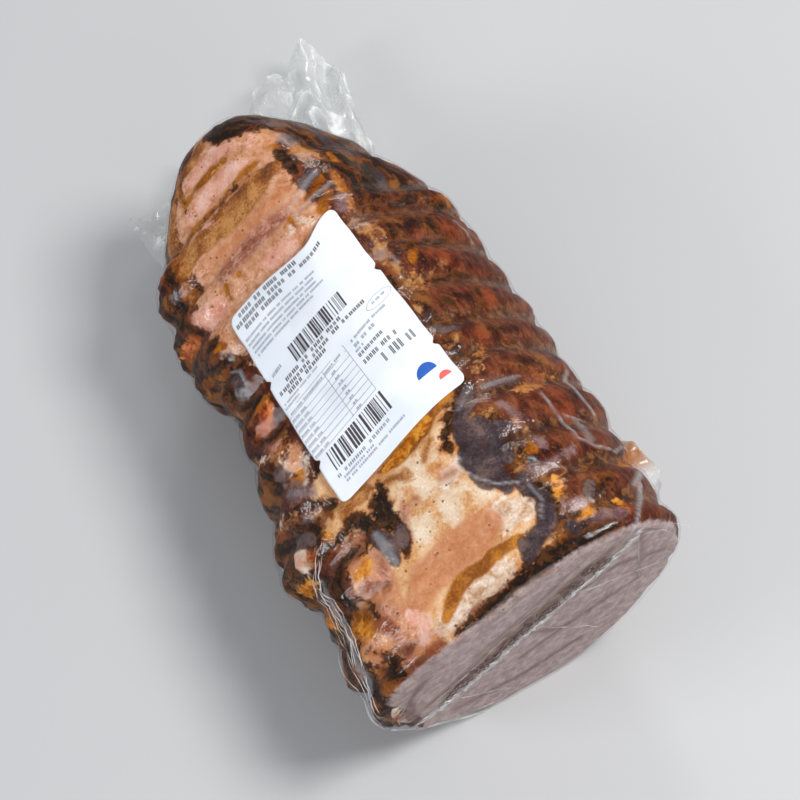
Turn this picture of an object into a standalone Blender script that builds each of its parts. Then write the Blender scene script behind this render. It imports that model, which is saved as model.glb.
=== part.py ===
"""A vacuum-packed roast pork: a string-tied roast, cut flat at one end, tight in its clear bag.

The roast lies along Y on its sagging underside, with its cut face towards -Y and its domed end
towards +Y. Its pale face, which carries the label, slopes down towards -X, and its ridged brown
flank falls away on the +X side. The bag follows every lobe and every groove of the strings. Its
crumpled tail lies behind the domed end, and one corner stands out from the flank near the cut.

Metres, +Z up. The origin is at the centre of the box of the whole, on the surface it lies on.
"""

import math

import bmesh
import bpy
import numpy as np
from mathutils import Matrix, Vector

# The roast.
LENGTH = 0.300  # along the axis, from the cut face to the tip of the dome
AXIS_HEIGHT = 0.0632
AXIS_TURN = math.radians(-5.5)  # the axis bends this much to the +X side by its far end
DOME_LENGTH = 0.106
DOME_ROUNDNESS = 1.80  # exponent of the dome's profile: 2 is an ellipse
DOME_SHIFT = -0.0145  # the tip leans to the -X side
DOME_LIFT = 0.0260  # and stands this much above the axis
RIM_ROUND = 0.006  # how the tight film rounds the rim of the cut face

# Radii at even angles round the axis, from +X over the top, in metres, and where each section is.
SECTION_PLACES = (0.0, 0.45, 0.90)  # as a share of the length
SECTIONS = (
    (0.076, 0.080, 0.069, 0.056, 0.064, 0.082, 0.072, 0.070, 0.071, 0.070),
    (0.082, 0.074, 0.068, 0.060, 0.061, 0.075, 0.072, 0.068, 0.066, 0.069),
    (0.076, 0.069, 0.066, 0.058, 0.057, 0.073, 0.077, 0.069, 0.065, 0.068),
)

# The strings. They are hidden under the film, and only their grooves show.
STRING_PLACES = (0.014, 0.038, 0.062, 0.087, 0.108, 0.131, 0.154, 0.176, 0.199, 0.220, 0.252)
GROOVE_WIDTH = 0.0052
FLANK_GROOVE = 0.0034  # depth on the brown flank
SIDE_GROOVE = 0.0050  # depth on the lumpy dark side
FACE_GROOVE_NEAR = 0.0006  # depth on the pale face at the cut
FACE_GROOVE_FAR = 0.0036  # and at the dome
STRING_WAVE = 0.0016  # how far a string wanders along the axis
STRING_PHASE = 1.7  # from one string's wave to the next, in radians

# Where the sides of the roast lie round the axis, in degrees from +X over the top.
FLANK_MIDDLE = 35
FLANK_SPREAD = 60
FACE_MIDDLE = 122
FACE_SPREAD = 42
SIDE_MIDDLE = 195
SIDE_SPREAD = 45

# The lumps between the strings on the dark side.
LUMP_ANGLES = (167, 201)  # in degrees
LUMP_DRIFT = 8  # how far a lump strays from its angle
LUMP_HEIGHTS = (0.0013, 0.0042)
LUMP_SIZES = (0.0104, 0.0156)
# The largest lumps and hollows: place, angle in degrees, height and size.
BIG_LUMPS = (
    (0.234, 177, 0.0095, 0.017),  # shoulder beside the dome
    (0.158, 194, -0.0150, 0.021),  # waist on the dark side
    (0.084, 186, 0.0090, 0.015),  # belly on the dark side
    (0.056, 188, -0.0030, 0.014),  # hollow below the belly
    (0.209, 30, 0.0040, 0.016),  # shoulder on the flank
    (0.226, 46, -0.0035, 0.015),  # dip above it
    (0.075, 22, 0.0025, 0.018),  # flank near the cut
)

# The bag's tail behind the dome, and the corner that stands out from the flank.
FILM_THICKNESS = 0.0022
TAIL_ROOT = ((-0.050, 0.098, 0.046), (0.020, 0.128, 0.046), (0.074, 0.110, 0.040))
TAIL_EDGE = ((-0.040, 0.166, 0.014), (0.034, 0.202, 0.022), (0.090, 0.226, 0.018), (0.086, 0.150, 0.020))
TAIL_FOLD_HEIGHT = 0.0062
TAIL_FOLDS = 4.5  # folds across the tail
TAIL_FAN = 2.2  # how far they turn from root to edge, in radians
TAIL_CREASES = (9.0, -11.0)  # the smaller creases: radians across the tail and along it
TAIL_CREASE_SHARE = 0.5  # their height as a share of the folds'
TAIL_FLAT_SHARE = 0.3  # height of the folds at the root
EAR_PLACE = (0.0690, -0.1130, 0.0830)
EAR_LENGTH = 0.032
EAR_REACH = 0.017
EAR_DIRECTION = (0.86, 0.0, 0.16)
EAR_TAPER = 0.75  # how much shorter the ear is at its ends
EAR_ROUNDNESS = 1.5
EAR_CURL = 0.0030

# The label, a sheet of paper bent round the pale face.
LABEL_LENGTH = 0.112
LABEL_WIDTH = 0.074
LABEL_CENTRE = (0.1435, 112.5)  # distance from the cut face, and angle
LABEL_TURN = math.radians(-5.5)
LABEL_SKEW = math.radians(-6.0)  # the paper runs slightly askew over the bulging face
LABEL_SWING = 0.0032  # and its draped long edge swings this far at each end
LABEL_CORNER = 0.004
LABEL_THICKNESS = 0.0005
LABEL_GAP = 0.0007
NOTCH_PLACES = (0.36, 0.785)  # along the label, from its far end
NOTCH_DEPTH = 0.0022
NOTCH_WIDTH = 0.0022

# The finishes.
MEAT_COLOUR = (0.24, 0.09, 0.045)
FILM_ROUGHNESS = 0.25
PAPER_COLOUR = (0.87, 0.91, 0.95)
PAPER_ROUGHNESS = 0.45

# The meshes.
SEGMENTS = 56
CUT_RINGS = 4
RIM_RINGS = 3
BODY_RINGS = 49
TIP_RINGS = 13
TAIL_GRID = (30, 12)
EAR_GRID = (8, 5)
LABEL_GRID = (14, 18)
CORNER_ROWS = (0.12, 0.45)  # extra rows in the label's corners, as shares of the corner
NOTCH_CLEARANCE = 1.6  # of the notch's width, free of other rows
ARC_REACH = 1.9  # in radians, how far round the section an arc is measured
ARC_STEPS = 190
SEED = 4


def degrees_between(angle, middle):
    """Angle from a side's middle, in degrees, the short way round."""
    return (np.degrees(angle) - middle + 180) % 360 - 180


def side_share(angle, middle, spread):
    """How much a point belongs to a side of the roast: 1 at the side's middle, 0 far from it."""
    return np.exp(-((degrees_between(angle, middle) / spread) ** 4))


def section_radius(share, angle):
    """Radius of the plain section at a share of the length: a smooth closed curve."""
    count = len(SECTIONS[0])
    radii = [np.interp(share, SECTION_PLACES, column) for column in zip(*SECTIONS)]
    total = 0
    for index, radius in enumerate(radii):
        offset = angle - 2 * math.pi * index / count
        waves = sum(2 * np.cos(order * offset) for order in range(1, count // 2))
        total = total + radius * (1 + waves + np.cos(count // 2 * offset)) / count
    return total


def dome_scale(distance):
    """How the dome narrows the section towards the tip."""
    reach = np.clip((distance - LENGTH + DOME_LENGTH) / DOME_LENGTH, 0, 1)
    return (1 - reach**DOME_ROUNDNESS) ** (1 / DOME_ROUNDNESS), reach


def grooves(distance, angle):
    """Depth of the strings' grooves at a point of the surface."""
    share = distance / LENGTH
    face_depth = FACE_GROOVE_NEAR + (FACE_GROOVE_FAR - FACE_GROOVE_NEAR) * share**2
    depth = FLANK_GROOVE * side_share(angle, FLANK_MIDDLE, FLANK_SPREAD)
    depth = depth + face_depth * side_share(angle, FACE_MIDDLE, FACE_SPREAD)
    depth = depth + SIDE_GROOVE * side_share(angle, SIDE_MIDDLE, SIDE_SPREAD)
    total = 0
    for index, place in enumerate(STRING_PLACES):
        wander = STRING_WAVE * np.sin(2 * angle + STRING_PHASE * index)
        total = total + np.exp(-(((distance - place - wander) / GROOVE_WIDTH) ** 2))
    return depth * total


def lump_places():
    """The lumps of the dark side: (distance, angle in degrees, height, size)."""
    rng = np.random.default_rng(SEED)
    lumps = list(BIG_LUMPS)
    for near, far in zip(STRING_PLACES[:-2], STRING_PLACES[1:-1]):
        for middle in LUMP_ANGLES:
            angle = middle + rng.uniform(-LUMP_DRIFT, LUMP_DRIFT)
            height = rng.uniform(*LUMP_HEIGHTS)
            lumps.append(((near + far) / 2, angle, height, rng.uniform(*LUMP_SIZES)))
    return lumps


def swelling(distance, angle):
    """Height of the lumps over the plain section."""
    total = 0
    for place, middle, height, size in lump_places():
        along = (distance - place) / size
        round_it = np.radians(degrees_between(angle, middle)) * section_radius(0.5, np.radians(middle)) / size
        total = total + height * np.exp(-(along**2) - round_it**2)
    return total


def form(distance, angle, grooved=True, proud=0.0):
    """Points of the bag's surface, at a distance from the cut face and an angle round the axis."""
    scale, reach = dome_scale(distance)
    radius = section_radius(distance / LENGTH, angle) + swelling(distance, angle)
    if grooved:
        radius = radius - grooves(distance, angle)
    rim = np.clip(1 - distance / RIM_ROUND, 0, 1)
    radius = radius - RIM_ROUND * (1 - np.sqrt(1 - rim**2))
    radius = radius * scale + proud
    heading = AXIS_TURN * distance / LENGTH
    across = radius * np.cos(angle) + DOME_SHIFT * reach**2
    axis_x = -LENGTH / AXIS_TURN * (1 - np.cos(heading))
    axis_y = LENGTH / AXIS_TURN * np.sin(heading) - LENGTH / 2
    height = AXIS_HEIGHT + radius * np.sin(angle) + DOME_LIFT * reach**2
    x = axis_x + across * np.cos(heading)
    y = axis_y + across * np.sin(heading)
    return np.stack(np.broadcast_arrays(x, y, np.maximum(height, 0)), -1)


def new_object(name, bm):
    """Object from a bmesh, with its faces pointing out."""
    bmesh.ops.recalc_face_normals(bm, faces=bm.faces)
    mesh = bpy.data.meshes.new(name)
    bm.to_mesh(mesh)
    bm.free()
    mesh.shade_smooth()
    obj = bpy.data.objects.new(name, mesh)
    bpy.context.scene.collection.objects.link(obj)
    return obj


def ring_distances():
    """Distances of the rings: closer in the rounded rim and towards the tip of the dome."""
    rim = RIM_ROUND * (1 - np.cos(np.linspace(0, math.pi / 2, RIM_RINGS, endpoint=False)))
    body = np.linspace(RIM_ROUND, LENGTH - DOME_LENGTH / 2, BODY_RINGS)
    tip = LENGTH - DOME_LENGTH / 2 * (1 - np.sin(np.linspace(0, math.pi / 2, TIP_RINGS + 2)[1:-1]))
    return np.concatenate([rim, body, tip])


def build_roast():
    """The roast in its tight bag: rings from the cut face to the tip, closed at both ends."""
    angles = np.linspace(0, 2 * math.pi, SEGMENTS, endpoint=False)
    bm = bmesh.new()
    rim_points = form(0.0, angles)
    centre = rim_points.mean(axis=0)
    loops = []
    for step in range(1, CUT_RINGS + 1):
        inner = centre + (rim_points - centre) * step / (CUT_RINGS + 1)
        loops.append([bm.verts.new(point) for point in inner])
    for distance in ring_distances():
        loops.append([bm.verts.new(point) for point in form(distance, angles)])
    for near, far in zip(loops[:-1], loops[1:]):
        for index in range(SEGMENTS):
            after = (index + 1) % SEGMENTS
            bm.faces.new((near[index], near[after], far[after], far[index]))
    tip = form(LENGTH, angles).mean(axis=0)
    for loop, point in ((loops[0], centre), (loops[-1], tip)):
        pole = bm.verts.new(point)
        for index in range(SEGMENTS):
            bm.faces.new((loop[index], loop[(index + 1) % SEGMENTS], pole))
    bmesh.ops.triangulate(bm, faces=bm.faces)
    return new_object("vacuum_bag", bm)


def sheet(name, grid, place, thickness):
    """A bent sheet of even thickness: place(u, v) gives its middle for u and v from 0 to 1."""
    bm = bmesh.new()
    bmesh.ops.create_grid(bm, x_segments=grid[0], y_segments=grid[1], size=0.5)
    for vert in bm.verts:
        vert.co = place(vert.co.x + 0.5, vert.co.y + 0.5)
    obj = new_object(name, bm)
    solid = obj.modifiers.new("thickness", "SOLIDIFY")
    solid.thickness = thickness
    solid.offset = 0
    return obj


def along_points(points, share):
    """Point at a share of the way along a smooth run through evenly spaced points."""
    weights = []
    last = len(points) - 1
    for index in range(len(points)):
        others = [k for k in range(len(points)) if k != index]
        weights.append(math.prod((share * last - k) / (index - k) for k in others))
    return sum((Vector(point) * weight for point, weight in zip(points, weights)), Vector())


def build_tail():
    """The bag's tail: a wide crumpled sheet that runs out of the dome's underside."""

    def place(u, v):
        point = along_points(TAIL_ROOT, u).lerp(along_points(TAIL_EDGE, u), v)
        fold = math.sin(2 * math.pi * TAIL_FOLDS * u + TAIL_FAN * v)
        crease = math.sin(TAIL_CREASES[0] * u + TAIL_CREASES[1] * v)
        height = TAIL_FOLD_HEIGHT * (fold + TAIL_CREASE_SHARE * crease)
        point.z = max(point.z + height * min(1, TAIL_FLAT_SHARE + v), FILM_THICKNESS)
        return point

    return sheet("tail", TAIL_GRID, place, FILM_THICKNESS)


def build_ear():
    """The bag's corner: a small pointed fold that stands out from the flank."""

    def place(u, v):
        reach = EAR_REACH * v * (1 - EAR_TAPER * abs(2 * u - 1) ** EAR_ROUNDNESS)
        curl = EAR_CURL * math.sin(3 * math.pi * u) * v
        base = Vector(EAR_PLACE) + Vector((0, EAR_LENGTH * (u - 0.5), curl))
        return base + reach * Vector(EAR_DIRECTION)

    return sheet("ear", EAR_GRID, place, FILM_THICKNESS)


def fuse(obj, pieces):
    """Join pieces to an object with one Boolean union, applied."""
    collection = bpy.data.collections.new("to_fuse")
    bpy.context.scene.collection.children.link(collection)
    for piece in pieces:
        bpy.context.scene.collection.objects.unlink(piece)
        collection.objects.link(piece)
    union = obj.modifiers.new("union", "BOOLEAN")
    union.operation = "UNION"
    union.operand_type = "COLLECTION"
    union.collection = collection
    bpy.context.view_layer.update()
    depsgraph = bpy.context.evaluated_depsgraph_get()
    mesh = bpy.data.meshes.new_from_object(obj.evaluated_get(depsgraph))
    obj.modifiers.remove(union)
    obj.data = mesh
    for piece in pieces:
        bpy.data.objects.remove(piece)
    bpy.data.collections.remove(collection)


def angle_at(distance, start, arc):
    """Angle reached by going an arc length round the ungrooved section from a start angle."""
    angles = start + np.linspace(-ARC_REACH, ARC_REACH, 2 * ARC_STEPS + 1)
    points = form(distance, angles, grooved=False)
    steps = np.linalg.norm(np.diff(points, axis=0), axis=1)
    lengths = np.concatenate([[0], np.cumsum(steps)])
    return np.interp(lengths[ARC_STEPS] + arc, lengths, angles)


def label_rows(half, notches):
    """Where the label's rows of points lie: evenly, and closer at the notches and the corners."""
    clear = NOTCH_CLEARANCE * NOTCH_WIDTH
    even = np.linspace(-half, half, LABEL_GRID[1] + 1).tolist()
    rows = {row for row in even if all(abs(row - notch) > clear for notch in notches)}
    for notch in notches:
        rows |= {notch - NOTCH_WIDTH, notch, notch + NOTCH_WIDTH}
    for step in CORNER_ROWS:
        rows |= {-half + step * LABEL_CORNER, half - step * LABEL_CORNER}
    return sorted(rows)


def build_label():
    """The label: rounded corners, two pairs of notches, bent round the pale face over the grooves."""
    centre, middle = LABEL_CENTRE
    half = LABEL_LENGTH / 2
    notches = [half - place * LABEL_LENGTH for place in NOTCH_PLACES]
    rows = label_rows(half, notches)

    def half_width(along):
        into_corner = max(0.0, abs(along) - half + LABEL_CORNER)
        width = LABEL_WIDTH / 2 - LABEL_CORNER + math.sqrt(max(0.0, LABEL_CORNER**2 - into_corner**2))
        notch = max(0.0, 1 - min(abs(along - place) for place in notches) / NOTCH_WIDTH)
        return width - NOTCH_DEPTH * notch

    def place(u, v):
        along = rows[round(v * (len(rows) - 1))]
        across = (2 * u - 1) * half_width(along)
        distance = centre + along * math.cos(LABEL_TURN) + across * math.sin(LABEL_TURN + LABEL_SKEW)
        arc = across * math.cos(LABEL_TURN) - along * math.sin(LABEL_TURN)
        arc -= LABEL_SWING * max(0.0, across) / (LABEL_WIDTH / 2) * along / half
        angle = angle_at(distance, math.radians(middle), arc)
        return Vector(form(distance, angle, grooved=False, proud=LABEL_GAP + LABEL_THICKNESS / 2))

    return sheet("label", (LABEL_GRID[0], len(rows) - 1), place, LABEL_THICKNESS)


def set_origin(objects):
    """Move everything so that the origin is at the bottom centre of the whole's box."""
    depsgraph = bpy.context.evaluated_depsgraph_get()
    corners = []
    for obj in objects:
        mesh = obj.evaluated_get(depsgraph).to_mesh()
        corners.extend(vert.co.copy() for vert in mesh.vertices)
    low = Vector(min(corner[axis] for corner in corners) for axis in range(3))
    high = Vector(max(corner[axis] for corner in corners) for axis in range(3))
    shift = Vector((-(low.x + high.x) / 2, -(low.y + high.y) / 2, -low.z))
    for obj in objects:
        obj.data.transform(Matrix.Translation(shift))


def finish(obj, colour, roughness):
    """Give an object its own plain material."""
    material = bpy.data.materials.new(obj.name)
    material.use_nodes = True
    shader = material.node_tree.nodes["Principled BSDF"]
    shader.inputs["Base Color"].default_value = (*colour, 1)
    shader.inputs["Roughness"].default_value = roughness
    obj.data.materials.clear()
    obj.data.materials.append(material)


def main():
    """Build the packed roast and its label."""
    for obj in list(bpy.data.objects):
        bpy.data.objects.remove(obj)
    bag = build_roast()
    fuse(bag, [build_tail(), build_ear()])
    label = build_label()
    set_origin([bag, label])
    finish(bag, MEAT_COLOUR, FILM_ROUGHNESS)
    finish(label, PAPER_COLOUR, PAPER_ROUGHNESS)


main()
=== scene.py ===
"""Looks of a vacuum-packed roast pork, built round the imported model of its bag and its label.

The meat, the clear film over it, the bag's tail and corner, its pleats and bubbles, the paper label
and its generic print are modelled here. Metres, +Z up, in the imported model's own frame.
"""

import itertools
import logging
import math
from dataclasses import dataclass, field
from enum import Enum
from typing import Sequence

import bpy
import numpy as np
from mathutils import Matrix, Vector

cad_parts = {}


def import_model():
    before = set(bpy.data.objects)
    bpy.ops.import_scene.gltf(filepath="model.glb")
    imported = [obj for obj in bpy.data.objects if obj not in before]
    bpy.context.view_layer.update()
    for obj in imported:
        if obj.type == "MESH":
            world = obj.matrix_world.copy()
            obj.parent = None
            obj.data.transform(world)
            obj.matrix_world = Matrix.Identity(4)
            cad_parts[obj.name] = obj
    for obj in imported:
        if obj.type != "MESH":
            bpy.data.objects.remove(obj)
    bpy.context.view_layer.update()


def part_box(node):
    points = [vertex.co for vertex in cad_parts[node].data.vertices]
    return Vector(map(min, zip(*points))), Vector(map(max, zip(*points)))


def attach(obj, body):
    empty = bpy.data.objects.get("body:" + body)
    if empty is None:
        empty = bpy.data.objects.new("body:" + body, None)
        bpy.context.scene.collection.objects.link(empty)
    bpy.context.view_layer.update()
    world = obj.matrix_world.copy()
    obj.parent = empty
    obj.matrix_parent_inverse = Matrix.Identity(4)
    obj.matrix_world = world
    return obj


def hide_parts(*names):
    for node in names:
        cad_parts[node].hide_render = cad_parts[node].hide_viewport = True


LOG = logging.getLogger("packed_roast")
BODY = "root"
MM = 0.001
PER_METRE = 1000  # millimetres in a metre
FAR_OUTSIDE = -15.0  # depth of a place well outside a stroke, in mm
Array = np.ndarray
Pair = tuple[float, float]
Triple = tuple[float, float, float]
Shade = tuple[int, int, int]
Quad = tuple[float, float, float, float]
Colour = Quad
Socket = bpy.types.NodeSocket
Piece = bpy.types.Object
Material = bpy.types.Material
Stroke = tuple[Triple, ...]


def srgb(red: int, green: int, blue: int) -> Colour:
    """Linear colour of a display colour.

    Args:
        red: red from 0 to 255.
        green: green from 0 to 255.
        blue: blue from 0 to 255.

    Returns:
        The colour with full opacity.
    """
    parts = [part / 255 for part in (red, green, blue)]
    linear = [part / 12.92 if part < 0.04045 else ((part + 0.055) / 1.055) ** 2.4 for part in parts]
    return (*linear, 1.0)


class Noise:
    """Smooth seeded noise in space, between about -1 and 1."""

    TABLE = 256  # slopes in the table
    GAIN = 1.6  # brings the noise to its full height
    CREASED_TOP = 1.6  # height of the sharpest creases, brought to 1

    def __init__(self, seed: int) -> None:
        """Draw the table of slopes.

        Args:
            seed: seed of the draw.
        """
        rng = np.random.default_rng(seed)
        slopes = rng.normal(size=(self.TABLE, 3))
        self.order = rng.permutation(self.TABLE)
        self.slopes = slopes / np.linalg.norm(slopes, axis=1, keepdims=True)

    def at(self, points: Array, size: float) -> Array:
        """Noise at points.

        Args:
            points: points in metres, one a row.
            size: size of its features in metres.

        Returns:
            One value a point.
        """
        place = points / size
        cell = np.floor(place).astype(int)
        rest = place - cell
        blend = rest**3 * (rest * (rest * 6 - 15) + 10)
        total = np.zeros(len(points))
        for corner in itertools.product((0, 1), repeat=3):
            index = np.zeros(len(points), int)
            for axis in range(3):
                index = self.order[(index + cell[:, axis] + corner[axis]) % self.TABLE]
            weight = np.prod(np.where(corner, blend, 1 - blend), axis=1)
            total += weight * np.einsum("ij,ij->i", self.slopes[index], rest - corner)
        return self.GAIN * total

    def layered(self, points: Array, size: float, layers: int) -> Array:
        """Sum of finer and finer noise, each layer half as large and half as high as the last."""
        return sum(self.at(points, size / 2**layer) / 2**layer for layer in range(layers))

    def creased(self, points: Array, size: float, layers: int) -> Array:
        """Noise with sharp creases, from 0 in its valleys to 1 on its creases."""
        total = sum((1 - np.abs(self.at(points, size / 2**layer)) * 2) / 2**layer for layer in range(layers))
        return np.clip(total / self.CREASED_TOP, 0, 1)


def deselect() -> None:
    """Leave nothing selected."""
    bpy.ops.object.select_all(action="DESELECT")


def pick(piece: Piece) -> None:
    """Make a piece the only one that the operators act on.

    Args:
        piece: the piece.
    """
    deselect()
    bpy.context.view_layer.objects.active = piece
    piece.select_set(True)


def grid(name: str, columns: int, rows: int) -> Piece:
    """A flat grid of faces, 1 m each way from its lower left corner at the origin.

    Args:
        name: the piece's name.
        columns: faces along X.
        rows: faces along Y.

    Returns:
        The new piece.
    """
    deselect()
    bpy.ops.mesh.primitive_grid_add(x_subdivisions=columns, y_subdivisions=rows, size=1)
    piece = bpy.context.object
    piece.name = name
    piece.data.name = name
    points = points_of(piece)
    points[:, :2] += 0.5
    move(piece, points)
    return piece


def points_of(piece: Piece) -> Array:
    """Read where a piece's points lie.

    Args:
        piece: the piece.

    Returns:
        The points, one a row.
    """
    flat = np.empty(len(piece.data.vertices) * 3)
    piece.data.vertices.foreach_get("co", flat)
    return flat.reshape(-1, 3)


def move(piece: Piece, points: Array) -> None:
    """Put a piece's points in new places."""
    piece.data.vertices.foreach_set("co", points.astype(np.float32).ravel())
    piece.data.update()


def paint(piece: Piece, name: str, values: Array) -> None:
    """Store a value a point, for the piece's material to read."""
    layer = piece.data.attributes.new(name, "FLOAT", "POINT")
    layer.data.foreach_set("value", values.astype(np.float32))


def weld(piece: Piece, gap: float = 2e-5) -> None:
    """Merge points that meet, and point all faces outwards.

    Args:
        piece: the piece.
        gap: points nearer than this are merged, in metres.
    """
    pick(piece)
    bpy.ops.object.mode_set(mode="EDIT")
    bpy.ops.mesh.select_all(action="SELECT")
    bpy.ops.mesh.remove_doubles(threshold=gap)
    bpy.ops.mesh.normals_make_consistent(inside=False)
    bpy.ops.object.mode_set(mode="OBJECT")


def drop_faces(piece: Piece, dropped: Array) -> None:
    """Delete some of a piece's faces.

    Args:
        piece: the piece.
        dropped: for each face, whether it goes.
    """
    pick(piece)
    bpy.ops.object.mode_set(mode="EDIT")
    bpy.ops.mesh.select_mode(type="FACE")
    bpy.ops.mesh.select_all(action="DESELECT")
    bpy.ops.object.mode_set(mode="OBJECT")
    piece.data.polygons.foreach_set("select", dropped)
    bpy.ops.object.mode_set(mode="EDIT")
    bpy.ops.mesh.delete(type="FACE")
    bpy.ops.object.mode_set(mode="OBJECT")


def smooth(piece: Piece) -> None:
    """Shade a piece smooth."""
    pick(piece)
    bpy.ops.object.shade_smooth()


def thicken(piece: Piece, thickness: float) -> None:
    """Give a sheet its thickness, half on each side.

    Args:
        piece: the sheet.
        thickness: its thickness in metres.
    """
    wall = piece.modifiers.new("wall", "SOLIDIFY")
    wall.thickness = thickness
    wall.offset = 0
    pick(piece)
    bpy.ops.object.modifier_apply(modifier=wall.name)


def dress(piece: Piece, material: Material) -> Piece:
    """Shade a finished piece smooth and give it its material.

    Args:
        piece: the piece.
        material: its material.

    Returns:
        The piece.
    """
    smooth(piece)
    piece.data.materials.append(material)
    return piece


def join(name: str, pieces: Sequence[Piece]) -> Piece:
    """Join pieces into one.

    Args:
        name: name of the joined piece.
        pieces: what it is made of.

    Returns:
        The joined piece.
    """
    deselect()
    for piece in pieces:
        piece.select_set(True)
    bpy.context.view_layer.objects.active = pieces[0]
    bpy.ops.object.join()
    joined = bpy.context.object
    joined.name = name
    joined.data.name = name
    return joined


def strand(name: str, route: Array, radii: Array, sides: int = 8) -> Piece:
    """A closed strand round a route: a grid rolled into a tube whose ends run to a point.

    Args:
        name: the piece's name.
        route: points along its middle.
        radii: radius at each of them.
        sides: number of sides.

    Returns:
        The new piece.
    """
    count = len(route)
    piece = grid(name, sides, count - 1)
    share = points_of(piece)
    row = np.rint(share[:, 1] * (count - 1)).astype(int)
    turn = 2 * math.pi * share[:, 0]
    heading = np.gradient(route, axis=0)
    heading /= np.linalg.norm(heading, axis=1, keepdims=True)
    side = np.cross(heading, (0.0, 0.0, 1.0))
    side /= np.linalg.norm(side, axis=1, keepdims=True)
    lift = np.cross(side, heading)
    from_middle = np.abs(2 * np.arange(count) / (count - 1) - 1)
    taper = np.sqrt(np.clip(1 - from_middle**8, 0, 1))
    radius = (radii * taper)[row, None]
    around = np.cos(turn)[:, None] * side[row] + np.sin(turn)[:, None] * lift[row]
    move(piece, route[row] + radius * around)
    weld(piece, 1e-6)
    smooth(piece)
    return piece


@dataclass(frozen=True)
class RoastForm:
    """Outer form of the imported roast, with the same named sizes as the solid's source."""

    length: float = 0.3
    axis_height: float = 0.0632
    axis_turn: float = math.radians(-5.5)
    dome_length: float = 0.106
    dome_roundness: float = 1.8
    dome_shift: float = -0.0145
    dome_lift: float = 0.026
    rim_round: float = 0.006
    section_places: tuple[float, ...] = (0.0, 0.45, 0.9)
    sections: tuple[tuple[float, ...], ...] = (
        (0.076, 0.08, 0.069, 0.056, 0.064, 0.082, 0.072, 0.07, 0.071, 0.07),
        (0.082, 0.074, 0.068, 0.06, 0.061, 0.075, 0.072, 0.068, 0.066, 0.069),
        (0.076, 0.069, 0.066, 0.058, 0.057, 0.073, 0.077, 0.069, 0.065, 0.068),
    )
    string_places: tuple[float, ...] = (
        0.014, 0.038, 0.062, 0.087, 0.108, 0.131, 0.154, 0.176, 0.199, 0.22, 0.252,
    )
    groove_width: float = 0.0052
    flank_groove: float = 0.0034
    side_groove: float = 0.005
    face_groove_near: float = 0.0006
    face_groove_far: float = 0.0036
    string_wave: float = 0.0016
    string_phase: float = 1.7
    flank_side: Pair = (35.0, 60.0)
    face_side: Pair = (122.0, 42.0)
    dark_side: Pair = (195.0, 45.0)
    lump_angles: Pair = (167.0, 201.0)
    lump_drift: float = 8.0
    lump_heights: Pair = (0.0013, 0.0042)
    lump_sizes: Pair = (0.0104, 0.0156)
    big_lumps: tuple[Quad, ...] = (
        (0.234, 177, 0.0095, 0.017),
        (0.158, 194, -0.015, 0.021),
        (0.084, 186, 0.009, 0.015),
        (0.056, 188, -0.003, 0.014),
        (0.209, 30, 0.004, 0.016),
        (0.226, 46, -0.0035, 0.015),
        (0.075, 22, 0.0025, 0.018),
    )
    seed: int = 4
    survey_rows: int = 181
    survey_columns: int = 151
    shift: Pair = (0.0, 0.0)

    @staticmethod
    def between(angle: Array, middle: float) -> Array:
        """Degrees from a middle to each angle, the short way round."""
        return (np.degrees(angle) - middle + 180) % 360 - 180

    def share_of(self, angle: Array, side: Pair) -> Array:
        """How much each angle belongs to a side: 1 at its middle, 0 far from it."""
        return np.exp(-((self.between(angle, side[0]) / side[1]) ** 4))

    def section(self, share: Array, angle: Array) -> Array:
        """Radius of the plain section, a smooth closed curve.

        Args:
            share: share of the roast's length.
            angle: round the axis, in radians.

        Returns:
            The radius in metres.
        """
        count = len(self.sections[0])
        total = 0
        for index, column in enumerate(zip(*self.sections)):
            offset = angle - 2 * math.pi * index / count
            waves = sum(2 * np.cos(order * offset) for order in range(1, count // 2))
            radius = np.interp(share, self.section_places, column)
            total = total + radius * (1 + waves + np.cos(count // 2 * offset)) / count
        return total

    def dome(self, distance: Array) -> tuple[Array, Array]:
        """How the dome narrows the section, and the share of the dome passed."""
        reach = np.clip((distance - self.length + self.dome_length) / self.dome_length, 0, 1)
        return (1 - reach**self.dome_roundness) ** (1 / self.dome_roundness), reach

    def string_rows(self, distance: Array, angle: Array, width: float) -> Array:
        """Where the strings' grooves run.

        Args:
            distance: from the cut face, in metres.
            angle: round the axis, in radians.
            width: half width of a groove, in metres.

        Returns:
            1 in the middle of each groove, 0 between them.
        """
        total = 0
        for index, place in enumerate(self.string_places):
            wander = self.string_wave * np.sin(2 * angle + self.string_phase * index)
            total = total + np.exp(-(((distance - place - wander) / width) ** 2))
        return total

    def groove_depth(self, distance: Array, angle: Array) -> Array:
        """Depth of the strings' grooves.

        Args:
            distance: from the cut face, in metres.
            angle: round the axis, in radians.

        Returns:
            The depth in metres.
        """
        share = distance / self.length
        face_depth = self.face_groove_near + (self.face_groove_far - self.face_groove_near) * share**2
        depth = self.flank_groove * self.share_of(angle, self.flank_side)
        depth = depth + face_depth * self.share_of(angle, self.face_side)
        depth = depth + self.side_groove * self.share_of(angle, self.dark_side)
        return depth * self.string_rows(distance, angle, self.groove_width)

    def lumps(self) -> list[Quad]:
        """List the lumps: the large ones, and two seeded ones between each pair of strings.

        Returns:
            Distance, angle in degrees, height and size of each.
        """
        rng = np.random.default_rng(self.seed)
        found = list(self.big_lumps)
        for near, far in zip(self.string_places[:-2], self.string_places[1:-1]):
            for middle in self.lump_angles:
                angle = middle + rng.uniform(-self.lump_drift, self.lump_drift)
                height = rng.uniform(*self.lump_heights)
                found.append(((near + far) / 2, angle, height, rng.uniform(*self.lump_sizes)))
        return found

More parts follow.
